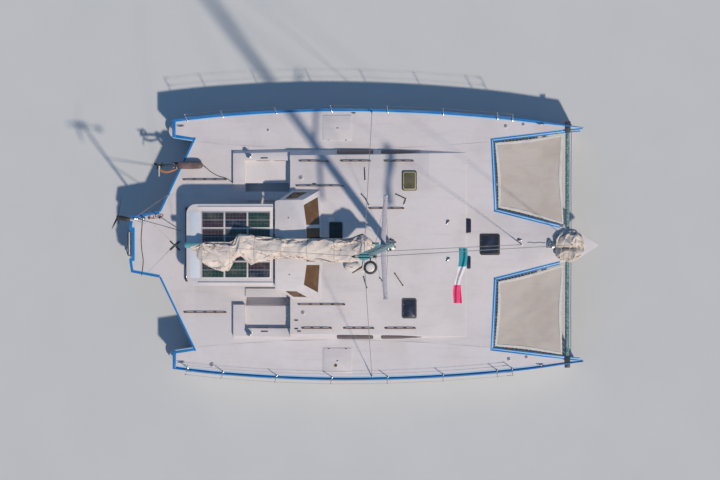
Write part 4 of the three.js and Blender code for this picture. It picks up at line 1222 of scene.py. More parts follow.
SPECIAL_FINISHES = {
    "strip": Acrylic("pale strip", "CFD9E4", "E0E2E6", 0.0),
    "brown_glass": Acrylic("smoked brown acrylic", "6E5236", "94806A", 0.1),
    "slate_glass": Acrylic("slate acrylic", "2A3040", "5A6474", 0.06),
    "olive_glass": Acrylic("olive acrylic", "5C5A42", "8F8A72", 0.1),
    "green_glass": Acrylic("dark green acrylic", "16302C", "54685E", 0.1),
    "window": Acrylic("side window acrylic", "5A5054", "7E7678", 0.04),
    # The second colour of each sail cloth is its painted crease shade, also used for its dirt
    "sail": SailCloth("weathered sail cloth", "F2E8DE", "6E5442", 1.1),
    "headsail": SailCloth("headsail cloth", "E4DCD2", "6E5A4C", 0.8),
    "cells": SolarCells(),
    "bunting": Bunting(),
    "antifoul": BottomPaint(),
}


@dataclass
class Studio:
    """Camera, lights and floor of the picture.

    Attributes:
        eye: Where the camera stands.
        target: The point on the deck in the middle of the picture.
        lens: Its focal length in millimetres.
        light: The way that the sunlight travels.
        floor: The width of the floor.
    """

    eye: Point = (2.74, 1.05, 61.6)
    target: Point = (-0.46, 0.16, 1.6)
    lens: float = 84.3
    light: Point = (-0.384, 0.516, -0.766)
    floor: float = 240.0

    def set_camera(self) -> None:
        """Place the camera straight over the boat with the bow to the right."""
        data = bpy.data.cameras.new("camera")
        data.lens = self.lens
        data.sensor_width = 36.0
        data.clip_end = 600.0
        camera = bpy.data.objects.new("camera", data)
        back = (Vector(self.eye) - Vector(self.target)).normalized()
        right = Vector((0, 1, 0)).cross(back).normalized()
        turn = Matrix((right, back.cross(right), back)).transposed().to_4x4()
        camera.matrix_world = Matrix.Translation(self.eye) @ turn
        bpy.context.scene.collection.objects.link(camera)
        bpy.context.scene.camera = camera

    def light_and_floor(self) -> None:
        """Add the sun, the sky's fill and the pale floor at the waterline."""
        sun = bpy.data.lights.new("sun", "SUN")
        sun.energy = 3.1
        sun.color = (1.0, 0.86, 0.72)
        sun.angle = math.radians(2.5)
        lamp = bpy.data.objects.new("sun", sun)
        lamp.rotation_mode = "QUATERNION"
        lamp.rotation_quaternion = Vector(self.light).to_track_quat("-Z", "Y")
        bpy.context.scene.collection.objects.link(lamp)
        world = bpy.data.worlds.new("sky")
        world.use_nodes = True
        g = Graph(world.node_tree)
        sky = g.node("Background", {"Color": (0.1, 0.19, 0.34, 1.0), "Strength": 1.0})
        g.node("OutputWorld", {"Surface": sky.outputs[0]})
        bpy.context.scene.world = world
        bpy.context.scene.view_settings.view_transform = "Standard"
        form = Form()
        half = self.floor / 2
        form.skin(4, 4, lambda u, v: ((u - 0.5) * 2 * half, (v - 0.5) * 2 * half, 0.0))
        mesh = bpy.data.meshes.new("floor")
        form.bm.to_mesh(mesh)
        form.bm.free()
        paint = bpy.data.materials.new("pale floor")
        paint.use_nodes = True
        g = Graph(paint.node_tree)
        place = g.node("TexCoord").outputs["Object"]
        colour = g.mix(g.noise(place, 0.4, 4.0), tint("C9CCCD"), tint("BFC4C6"))
        shader = g.node("BsdfPrincipled", {"Base Color": colour, "Roughness": 0.9})
        g.node("OutputMaterial", {"Surface": shader.outputs[0]})
        mesh.materials.append(paint)
        floor = bpy.data.objects.new("floor", mesh)
        bpy.context.scene.collection.objects.link(floor)


class Ground:
    """The solids that fittings stand on, read from above."""

    def __init__(self, nodes: Sequence[str]) -> None:
        """Gather the solids' faces.

        Args:
            nodes: The solids that carry something.
        """
        points: list[Vector] = []
        faces: list[list[int]] = []
        for node in nodes:
            mesh = FRAME["nodes"][node].data
            start = len(points)
            points += [vert.co.copy() for vert in mesh.vertices]
            faces += [[start + i for i in face.vertices] for face in mesh.polygons]
        self.tree = BVHTree.FromPolygons(points, faces)

    def height(self, x: float, y: float) -> float:
        """Height of the topmost face at a place."""
        hit = self.tree.ray_cast(Vector((x, y, 2.64)), Vector((0, 0, -1)))[0]
        return hit.z if hit else DECK


def hull_half(x: float, z: float) -> float:
    """Half breadth of a hull at a place and height above its middle."""
    out, inn, half, _ = eased(HULL_SECTIONS, x)
    rise = min(1.0, max(0.0, z) / 0.9)
    return half + ((out - inn) / 2 - half) * math.sin(rise * math.pi / 2)


def deck_edge(x: float) -> float:
    """Distance of the outer deck edge from the centreline."""
    return between(HULL_SECTIONS, x)[0]


@dataclass
class Hulls:
    """The two hulls with their keels, rudders, drives and propellers.

    Attributes:
        stem: Where the raked stem starts and ends, and its rake.
        transom: The rake of the transom.
        step: Place along and across, radius, height and thickness of the swim step.
        boot: Lowest and highest edge of the blue boot stripe.
        paint: Height of the bottom paint's edge.
    """

    stem: tuple[float, float, float] = (5.6, 7.5, 0.16)
    transom: float = 0.12
    step: tuple[float, float, float, float, float] = (-7.23, 4.13, 0.285, 0.43, 0.09)
    boot: tuple[float, float] = (0.06, 0.15)
    paint: float = -0.02

    def _shell(self, side: int) -> Form:
        """Loft one hull from its sections."""
        form = Form()
        levels = 22

        def place(u: float, v: float) -> Vector:
            """Point on the hull's skin, from the outer deck edge round to the inner one."""
            x = STERN + u * (STEM - STERN)
            out, inn, half, bottom = eased(HULL_SECTIONS, x)
            centre = (out + inn) / 2
            across = v * 2 - 1
            depth = 1 - abs(across)
            if depth < 0.5:
                z = DECK * (1 - depth * 2)
                breadth = hull_half(x, z)
            else:
                turn = (depth * 2 - 1) * math.pi / 2
                z = bottom * math.sin(turn)
                breadth = half * max(0.02, math.cos(turn)) ** 0.75
            rake = max(0.0, (x - self.stem[0]) / (self.stem[1] - self.stem[0])) * self.stem[2] * (z - DECK)
            if x < -7.1:
                rake += self.transom * (DECK - z)
            return Vector((x + rake, side * (centre - math.copysign(breadth, across)), z))

        form.skin(96, levels * 2, place)
        edges = [
            edge for edge in form.bm.edges
            if edge.is_boundary and min(vert.co.z for vert in edge.verts) > DECK - 1e-4
        ]
        bmesh.ops.bridge_loops(form.bm, edges=edges)
        return form

    def _hull(self, name: str, side: int) -> None:
        """Build one hull with its deck, swim step and rudder tube."""
        form = self._shell(side)
        rim = [edge for edge in form.bm.edges if edge.is_boundary]
        bmesh.ops.holes_fill(form.bm, edges=rim, sides=0)
        bmesh.ops.triangulate(form.bm, faces=[face for face in form.bm.faces if len(face.verts) > 4])
        for level in (self.paint, *self.boot):
            bmesh.ops.bisect_plane(
                form.bm, geom=form.bm.verts[:] + form.bm.edges[:] + form.bm.faces[:], plane_co=(0, 0, level),
                plane_no=(0, 0, 1),
            )

        def choose(face: bmesh.types.BMFace) -> int:
            """Pick topside, deck, boot stripe or bottom paint."""
            z = face.calc_center_median().z
            if z < self.paint:
                return 3
            if self.boot[0] < z < self.boot[1]:
                return 2
            return 1 if face.normal.z > 0.9 and z > DECK - 0.01 else 0

        form.bm.normal_update()
        form.split_paint(choose)
        self._swim_step(form, side)
        form.rod((-6.35, side * HULL_MIDDLE, -0.28), (-6.35, side * HULL_MIDDLE, -0.1), 0.06, sides=24,
                 slot=3)
        form.finish(
            f"hull_{name}_shell", "white", "gelcoat", "deck", "blue", "antifoul",
            "steel", replaces=[f"hull_{name}"],
        )

    def _swim_step(self, form: Form, side: int) -> None:
        """Add the half-round step under the transom with its non-skid pad."""
        x, y, radius, z, thick = self.step

        def outline(inset: float) -> list[Point]:
            """Edge of the step, moved in a little."""
            points = []
            for i in range(17):
                turn = math.pi / 2 + i / 16 * math.pi
                reach = radius - inset
                points.append((x + reach * math.cos(turn), side * y + reach * math.sin(turn)))
            half = radius - 0.015 - inset
            return points + [(-6.9 - inset, side * y - half), (-6.9 - inset, side * y + half)]

        form.plate([(a, b, z - thick) for a, b in outline(0.0)], (0, 0, thick), bevel=0.012)
        form.plate([(a, b, z - 0.001) for a, b in outline(0.05)], (0, 0, 0.006), slot=1, bevel=0.002)

    def _cleat(self, form: Form, x: float, y: float) -> None:
        """Add a deck cleat with two horns on its pad."""
        form.block((x - 0.06, y - 0.026, DECK - 0.005), (x + 0.06, y + 0.026, DECK + 0.012), bevel=0.004)
        for side in (-1, 1):
            form.rod((x + side * 0.03, y, DECK + 0.008), (x + side * 0.03, y, DECK + 0.06), 0.014, 0.012)
        form.tube(
            curved([(x - 0.135, y, DECK + 0.072), (x - 0.07, y, DECK + 0.064), (x + 0.07, y, DECK + 0.064),
                    (x + 0.135, y, DECK + 0.072)], 4),
            lambda u: 0.016 * (1 - 0.55 * abs(2 * u - 1) ** 3), sides=12, flat=0.8,
        )

    def _foil(
        self, form: Form, top: tuple[float, float, float], low: tuple[float, float, float], y: float,
        wide: float,
    ) -> None:
        """Add a streamlined blade that stands under a hull.

        Args:
            form: The form that it joins.
            top: Aft end, fore end and height of its top.
            low: Aft end, fore end and height of its foot.
            y: Its middle across the boat.
            wide: Its greatest thickness.
        """

        def place(u: float, v: float) -> Vector:
            """Point on the blade's skin."""
            aft = top[0] + (low[0] - top[0]) * u
            fore = top[1] + (low[1] - top[1]) * u
            z = top[2] + (low[2] - top[2]) * u
            turn = v * math.tau
            chord = (1 + math.cos(turn)) / 2
            thick = wide / 2 * math.sin(turn) * (0.35 + 0.65 * math.sqrt(chord)) * (1 - 0.25 * u)
            return Vector((aft + (fore - aft) * chord, y + thick, z))

        form.skin(8, 32, place, closed=True, capped=True)

    def _screw(self, name: str, side: int, body: str) -> None:
        """Build a three-bladed folding propeller."""
        form = Form()
        hub = (-3.48, side * HULL_MIDDLE, -0.9)
        form.turned([(0.0, -0.09), (0.03, -0.075), (0.046, -0.03), (0.047, 0.05), (0.04, 0.055), (0, 0.055)],
                    hub, (1, 0, 0), 24)
        form.screw(hub, (1, 0, 0), (0, 0, 1), (0.03, 0.228), 0.1)
        form.finish(f"{name}_screw", "bronze", "bronze", body=body, replaces=[f"propeller_{name}"])

    def build(self) -> None:
        """Build both hulls and what hangs under them."""
        for name, side in SIDES:
            y = side * HULL_MIDDLE
            self._hull(name, side)
            cleats = Form()
            for x, reach in ((5.95, 4.265), (-6.88, 4.23)):
                self._cleat(cleats, x, side * reach)
            cleats.finish(f"cleats_{name}", "steel", "steel")
            keel = Form()
            self._foil(keel, (-1.5, 1.3, -0.56), (-1.3, 0.7, -1.25), y, 0.23)
            keel.finish(f"keel_{name}_foil", "antifoul", "antifoul")
            rudder = Form()
            self._foil(rudder, (-6.68, -6.2, -0.33), (-6.62, -6.24, -1.12), y, 0.066)
            rudder.rod((-6.35, y, -0.35), (-6.35, y, -0.272), 0.032, sides=20)
            body = "rudder_left" if side > 0 else "rudder_right"
            rudder.finish(f"rudder_{name}_blade", "antifoul", "antifoul", body=body,
                          replaces=[f"rudder_{name}"])
            drive = Form()
            self._foil(drive, (-3.42, -3.14, -0.54), (-3.4, -3.16, -0.98), y, 0.09)
            drive.turned([(0, -0.13), (0.05, -0.125), (0.062, -0.02), (0.058, 0.12), (0.03, 0.19),
                          (0, 0.21)],
                         (-3.3, y, -0.9), (1, 0, 0), 28)
            drive.finish(f"saildrive_{name}_leg", "antifoul", "antifoul")
            self._screw(name, side, "screw_left" if side > 0 else "screw_right")


@dataclass
class Deckhouse:
    """Bridgedeck, coachroof with its windows, pilothouse, hard top and solar panels.

    Attributes:
        windows: Starts, ends and shares up the slope of the long side windows, and their pointed ends.
        rails: Starts, ends and distances from the centreline of the wooden handrails.
        hardtop: Aft end, half width, height and thickness of the hard top.
        panels: Aft and fore end, half width and height of the solar panels.
    """

    windows: tuple[tuple[float, float, float, float, float], ...] = (
        (-1.27, 0.02, 0.1, 0.9, 0.0),
        (0.3, 1.74, 0.1, 0.92, 0.42),
    )
    rails: tuple[tuple[float, float, float], ...] = (
        (-2.6, -1.54, 2.96), (-1.13, -0.05, 2.96), (0.41, 1.47, 2.96), (-2.71, -1.01, 2.08),
        (-0.13, 1.13, 1.28), (-6.81, -5.22, 2.31), (-2.64, -0.96, -2.13), (-2.51, -1.43, -2.97),
        (-1.03, 0.07, -2.97), (0.44, 1.54, -2.97), (-6.78, -5.24, -2.44),
    )
    hardtop: tuple[float, float, float, float] = (-6.523, 1.44, 2.63, 0.055)
    panels: tuple[float, float, float, float] = (-5.98, -3.54, 1.17, 2.6853)

    @staticmethod
    def _decked(face: bmesh.types.BMFace) -> int:
        """Slot 1 for the walked faces, slot 0 for the rest."""
        return 1 if face.normal.z > 0.93 else 0

    def _shell(self, node: str, *paints: str) -> None:
        """Dress one deck panel, its edges softened where no neighbour carries it on.

        Args:
            node: The solid's name.
            paints: Its smooth and its non-skid finish.
        """
        form = Form.of(node)
        form.split_paint(self._decked)
        form.round_edges(0.02, -9, 40, 3, DECK_SEAMS, 3.3)
        form.finish(f"{node}_shell", "white", *paints, replaces=[node])

    def _coachroof(self, *paints: str) -> None:
        """Dress the coachroof with rounded edges and non-skid on its walked faces."""
        form = Form.of("coachroof")
        form.split_paint(self._decked)
        form.round_edges(0.016, 1.63, 14, 3)
        form.finish("coachroof_shell", "white", *paints, replaces=["coachroof"])

    def _slope(self, x: float, share: float, side: int, lift: float) -> Vector:
        """Point on the coachroof's sloping side."""
        base, top, z = between(ROOF_SECTIONS, x)
        normal = Vector((0, side * (z - DECK), base - top)).normalized()
        return Vector((x, side * (base + (top - base) * share), DECK + (z - DECK) * share)) + normal * lift

    def _long_windows(self) -> None:
        """Lay the dark windows along the coachroof's sides, with a rubber edge."""
        for name, side in SIDES:
            form = Form()
            for start, end, low, high, point in self.windows:
                outline = []
                for i in range(33):
                    turn = i / 32 * math.tau
                    blunt = math.copysign(abs(math.cos(turn)) ** 0.22, math.cos(turn))
                    tall = math.copysign(abs(math.sin(turn)) ** 0.3, math.sin(turn))
                    share = (blunt + 1) / 2
                    narrow = 1 - min(1.0, max(0.0, (share - (1 - point)) / max(point, 0.01))) ** 1.6 * 0.92
                    height = (low + high) / 2 + (high - low) / 2 * tall * narrow
                    outline.append((start + (end - start) * share, height))
                rim = [self._slope(x, share, side, 0.0) for x, share in outline[:-1]]
                edge = Vector((0, side, 1)).normalized() * 0.014
                form.plate(rim, edge, slot=1, bevel=0.003)
                middle = sum(rim, Vector()) / len(rim)
                pane = [p.lerp(middle, 0.02) + (middle - p).normalized() * 0.016 + edge * 0.7 for p in rim]
                form.plate(pane, edge * 0.5, bevel=0.001)
            form.finish(f"coachroof_windows_{name}", "glass", "window", "rubber")

    def _handrails(self, ground: Ground) -> None:
        """Screw wooden handrails on small blocks to the roof and deck."""
        form = Form()
        for start, end, y in self.rails:
            count = max(3, round((end - start) / 0.38) + 1)
            path = []
            for i in range(17):
                x = start + (end - start) * i / 16
                path.append((x, y, ground.height(x, y) + 0.075 - 0.03 * abs(i / 8 - 1) ** 8))
            form.tube(path, lambda u: 0.017 * (1 - 0.35 * abs(2 * u - 1) ** 12), sides=12, flat=0.8)
            for i in range(count):
                x = start + 0.05 + (end - start - 0.1) * i / (count - 1)
                z = ground.height(x, y)
                form.block((x - 0.045, y - 0.017, z - 0.004), (x + 0.045, y + 0.017, z + 0.07), bevel=0.008)
        form.finish("handrails", "wood", "teak")

    def _coaming_slots(self) -> None:
        """Set black blocks as painted shade in the side seats' locker openings and grab recesses."""
        form = Form()
        # Painted shade: black blocks stand where the locker openings lie in shade
        for x0, x1, y in ((-4.15, -3.68, 2.99), (-3.51, -3.11, 2.99), (-4.16, -3.74, -2.99),
                          (-3.52, -3.17, -2.99)):
            low, high = sorted((y, y - math.copysign(0.014, y)))
            form.block((x0, low, 1.69), (x1, high, 1.75), bevel=0.004)
        # Painted shade: black dashes where the grab recesses on the coaming top lie in shade
        for y in (3.08, -3.1):
            form.block((-3.99, y - 0.02, 1.775), (-3.74, y + 0.02, 1.798), bevel=0.006)
        form.finish("coaming_slots", "dark", "black")

    def _pilothouse(self) -> None:
        """Dress the pilothouse walls, roof and panes."""
        walls = Form.of("pilothouse_walls")
        walls.round_corners(0.07, 0.12, 2.05)
        walls.round_edges(0.006, 2.0)
        walls.finish("pilothouse_walls_shell", "white", "gelcoat", replaces=["pilothouse_walls"], angle=20)
        roof = Form.of("pilothouse_roof")
        roof.split_paint(self._decked)
        roof.round_edges(0.018, -9, 25, 3)
        roof.finish("pilothouse_roof_shell", "white", "gelcoat", "roof", replaces=["pilothouse_roof"])
        for node in ("side_port", "front_port", "front_centre", "front_starboard", "side_starboard"):
            pane = Form.of(f"pane_{node}")
            pane.round_corners(0.07, 0.03, 2.0)
            pane.finish(f"pane_{node}_glass", "glass", "brown_glass", replaces=[f"pane_{node}"], angle=12)

    def _hardtop(self) -> None:
        """Dress the hard top, its frame and its pale aft strip."""
        aft, half, z, thick = self.hardtop
        slab = Form.of("hardtop")
        slab.round_edges(0.014, -9, 25, 3)
        slab.finish("hardtop_shell", "white", "gelcoat", replaces=["hardtop"])
        strip = Form()
        strip.block((aft + 0.12, -half + 0.28, z + thick - 0.004),
                    (aft + 0.47, half - 0.28, z + thick + 0.004))
        strip.finish("hardtop_strip", "blue", "strip")
        frame = Form()
        posts, reach = (-6.15, -5.0, -3.65), 1.34
        for side in (-1, 1):
            y = side * reach
            frame.block((-6.25, y - 0.022, z - 0.0603), (-3.6, y + 0.022, z - SEAT), bevel=0.006)
            for x in posts:
                frame.rod((x, y, DECK + SEAT), (x, y, z - 0.03), 0.024, sides=20)
                frame.flange((x, y, DECK + SEAT), 0.055, 0.008, (0.03, 0.027), 0.05)
        for x in posts:
            frame.block((x - 0.022, -reach, z - 0.0443), (x + 0.022, reach, z - SEAT), bevel=0.006)
        frame.finish("hardtop_frame_tubes", "steel", "steel", replaces=["hardtop_frame"])

    def _solar_panels(self) -> None:
        """Build twelve framed solar panels on their tray."""
        aft, fore, half, z = self.panels
        form = Form()
        form.block((aft, -half, z), (fore, half, z + 0.012), slot=1, bevel=0.002)
        long, wide = (fore - aft) / 3, 2 * half / 4
        for column in range(3):
            for row in range(4):
                x, y = aft + column * long, -half + row * wide
                low, high = (x + 0.017, y + 0.017, z + 0.01), (x + long - 0.017, y + wide - 0.017, z + 0.038)
                form.block(low, high, slot=1, bevel=0.003)
                form.block(
                    (low[0] + 0.012, low[1] + 0.012, z + 0.03),
                    (high[0] - 0.012, high[1] - 0.012, z + 0.0395),
                    bevel=0.0,
                )
        form.finish("solar_panel_modules", "panel", "cells", "gelcoat", replaces=["solar_panels"])

    def _door(self) -> None:
        """Build the framed companionway door with its handle."""
        form = Form()
        x0, x1 = -3.4603, -3.4203
        form.block((x0, -0.38, 0.82), (x1, 0.38, 2.56), slot=1, bevel=0.006)
        form.block((x0 - 0.001, -0.3, 0.95), (x1 + 0.001, 0.3, 2.46), bevel=0.004)
        form.rod((x0 - 0.035, -0.335, 1.62), (x0 - 0.035, -0.335, 1.86), 0.009, slot=2)
        for z in (1.63, 1.85):
            form.rod((x0 + 0.01, -0.335, z), (x0 - 0.035, -0.335, z), 0.008, slot=2)
        form.finish("companionway_door_leaf", "dark", "brown_glass", "teak", "steel",
                    body="door", replaces=["companionway_door"])

    def build(self, ground: Ground) -> None:
        """Build and dress the deckhouse.

        Args:
            ground: The solids that fittings stand on.
        """
        for node in DECK_PANELS:
            self._shell(node, "gelcoat", "deck")
        self._coachroof("gelcoat", "deck")
        self._long_windows()
        self._handrails(ground)
        self._coaming_slots()
        self._pilothouse()
        self._hardtop()
        self._solar_panels()
        self._door()


@dataclass
class Foredeck:
    """Forebeams, trampolines, windlass and anchor chain.

    Attributes:
        nets: Corners of the port and the starboard trampoline's opening.
        beam: Place, height and radius of the forebeams.
        frame: Height of the nets.
    """

    nets: tuple[tuple[tuple[float, float], ...], ...] = (
        ((4.25, 3.7), (6.8, 4.0), (6.83, 0.62), (4.37, 1.23)),
        ((4.25, -3.7), (6.8, -4.0), (6.83, -0.62), (4.37, -1.23)),
    )
    beam: tuple[float, float, float] = (6.9, 1.5, 0.075)
    frame: float = 1.54

    def _net(self, name: str, corners: Sequence[Point]) -> None:
        """Stretch one trampoline with its hem and lacing.

        Args:
            name: The side's name.
            corners: Aft outer, fore outer, fore inner and aft inner corner.
        """
        aft_out, fore_out, fore_in, aft_in = (Vector((*corner, self.frame)) for corner in corners)
        middle = (aft_out + fore_out + fore_in + aft_in) / 4
        seed = 3.0 if name == "port" else 11.0

        def spot(u: float, v: float, gap: float) -> Vector:
            """Place on the net, u forward and v inward, gap metres in from the edge."""
            point = aft_out.lerp(fore_out, u).lerp(aft_in.lerp(fore_in, u), v)
            size = (middle - point).length
            return point.lerp(middle, min(1.0, gap / max(size, 0.01) * 1.15))

        def cloth(u: float, v: float) -> Vector:
            """Point on the net with its sag, its pull marks and its scalloped edge."""
            edge = min(u, 1 - u, v, 1 - v)
            along_edge = u if v in (0.0, 1.0) else v
            scallop = 0.012 * abs(math.sin(along_edge * math.pi * 14)) if edge < 1e-6 else 0.0
            point = spot(u, v, 0.1 + scallop)
            sag = 0.05 * (math.sin(u * math.pi) * math.sin(v * math.pi)) ** 0.7
            along = noise.noise(Vector((u * 1.4 + v * 2.2, (v - u * 0.7) * 6.0, seed)))
            pull = 0.014 * along * min(1.0, edge * 9)
            ripple = 0.006 * math.sin((u + 0.6 * v) * 34 + seed) * max(0.0, 1 - edge * 9) * (edge > 0)
            return point + Vector((0, 0, -sag + pull + ripple))

        form = Form()
        form.skin(56, 64, cloth, scale=(2.6, 2.8))
        sheet = form.finish(f"trampoline_{name}_cloth", "net", "knit", replaces=[f"trampoline_{name}"])
        thicken(sheet, 0.006)
        hem = Form()
        ring = [(0, i / 40) for i in range(40)] + [(i / 40, 1) for i in range(40)]
        ring += [(1, 1 - i / 40) for i in range(40)] + [(1 - i / 40, 0) for i in range(41)]
        path = [cloth(u, v) for u, v in ring]
        rim = [spot(u, v, 0.19) for u, v in ring]

        def edge_band(u: float, v: float) -> Vector:
            """Point on the hem, from the net's edge inward."""
            i = round(u * (len(ring) - 1))
            flat = cloth(*ring[i]) * (1 - v) + rim[i] * v
            return flat + Vector((0, 0, 0.006 + 0.004 * math.sin(v * math.pi)))

        hem.skin(len(ring) - 1, 3, edge_band, scale=(11.0, 0.06))
        thicken(hem.finish(f"trampoline_{name}_hem", "net", "webbing"), 0.004)
        lacing = Form()
        for i in range(0, len(ring) - 1, 2):
            u, v = ring[i]
            outer = spot(u, v, 0.0)
            outer += (outer - middle).normalized() * 0.02
            lacing.tube([path[i] + (path[i] - outer) * 0.3 + Vector((0, 0, 0.012)), path[i], outer], 0.006,
                        sides=6)
        lacing.finish(f"trampoline_{name}_lacing", "cloth", "rope")

    def _edging(self, name: str, corners: Sequence[Point]) -> None:
        """Run the blue band with its pale inner line round a trampoline's opening."""
        side = 1 if name == "port" else -1
        aft_out, fore_out, _, aft_in = (Vector((*corner, 0)) for corner in corners)
        tip = Vector((7.36, side * 4.055, 0))
        bands = Form()
        lines = ((0.02, 0.065, 0.006, 0), (-0.05, -0.015, 0.006, 0), (-0.016, 0.021, 0.004, 1),
                 (0.064, 0.08, 0.004, 1))
        inner = Vector((6.62, side * 0.655, 0))
        for start, end in ((tip, fore_out), (fore_out, aft_out), (aft_out, aft_in), (aft_in, inner)):
            along = (end - start).normalized()
            out = along.cross(Vector((0, 0, 1))) * side
            for near, far, high, slot in lines:
                a, b = start - along * far, end + along * max(near, 0.0)
                low = DECK - (0.03 if near < 0.0 else 0.004)
                outline = [a + out * near, b + out * near, b + out * far, a + out * far]
                bands.plate([(p.x, p.y, low) for p in outline], (0, 0, DECK + high - low), slot=slot,
                            bevel=0.002)
        bands.finish(f"trampoline_{name}_edging", "blue", "blue", "pale_blue")

    def _beam(self, name: str, side: int) -> None:
        """Build one forebeam with its striker line and the lashing at the bow."""
        x, z, radius = self.beam
        form = Form.of(f"forebeam_{name}")
        form.finish(f"forebeam_{name}_tube", "dark", "beam", replaces=[f"forebeam_{name}"], angle=40)
        trim = Form()
        trim.tube([(x + 0.13, side * 0.42, z + 0.03), (x + 0.12, side * 2.2, z + 0.05),
                   (x + 0.13, side * 4.02, z + 0.03)],
                  0.012, sides=8)
        for y in (0.75, 1.5, 2.3, 3.1, 3.8):
            trim.hoop((x, side * y, z), radius + 0.004, 0.006, (0, 1, 0))
        trim.finish(f"forebeam_{name}_striker", "steel", "wire")
        lash = Form()
        for i in range(7):
            y = side * (3.98 + i * 0.022)
            lash.hoop((x, y, z + 0.01), radius + 0.02, 0.012, (0, 1, 0))
        low, high = sorted((side * 3.98, side * 4.36))
        lash.block((x - 0.1, low, DECK + 0.001), (x + 0.1, high, DECK + 0.022),
                   slot=1, bevel=0.008)
        for i in range(4):
            y = side * (4.06 + i * 0.08)
            lash.turned([(0.0, 0.0), (0.012, 0.0), (0.011, 0.006), (0, 0.008)], (x, y, DECK + 0.022),
                        steps=8, slot=1)
        lash.finish(f"forebeam_{name}_lashing", "dark", "dark_rope", "black")

    def _windlass(self) -> None:
        """Build the windlass, and the anchor chain that runs to it along the foredeck."""
        form = Form()
        form.block((6.15, -0.11, DECK + SEAT), (6.43, 0.11, DECK + 0.03), bevel=0.012)
        form.turned([(0, 0), (0.1, 0), (0.1, 0.03), (0.085, 0.05), (0, 0.06)], (6.27, 0, DECK + 0.028),
                    steps=28)
        form.turned([(0, -0.11), (0.05, -0.11), (0.07, -0.09), (0.045, -0.05), (0.045, 0.03), (0.075, 0.06),
                     (0.05, 0.08), (0.075, 0.11), (0.05, 0.15), (0, 0.15)], (6.29, 0.0, DECK + 0.1),
                     (0, 1, 0), 24)
        form.rod((6.35, -0.02, DECK + 0.02), (6.4, -0.02, DECK + 0.13), 0.018, slot=1)
        form.finish("windlass_body", "steel", "steel", "black", replaces=["windlass"])
        chain = Form()
        for i in range(30):
            x = 5.5 + i * 0.021
            axis = (0, 1, 1) if i % 2 else (0, 1, -1)
            centre = Vector((x, 0.07 + 0.01 * math.sin(i * 0.4), DECK + 0.017))
            turn = Matrix.Translation(centre) @ Vector(axis).to_track_quat("Z", "X").to_matrix().to_4x4()

            def link(u: float, v: float, turn: Matrix = turn) -> Vector:
                """Point on one chain link."""
                a, b = u * math.tau, v * math.tau
                reach = 0.009 + 0.004 * math.cos(b)
                return turn @ Vector((1.5 * reach * math.cos(a), reach * math.sin(a), 0.004 * math.sin(b)))

            chain.skin(12, 5, link, closed=True)
        chain.finish("anchor_chain", "steel", "steel")

    def build(self) -> None:
        """Build everything ahead of the coachroof."""
        for (name, side), corners in zip(SIDES, self.nets):
            self._net(name, corners)
            self._edging(name, corners)
            self._beam(name, side)
        self._windlass()


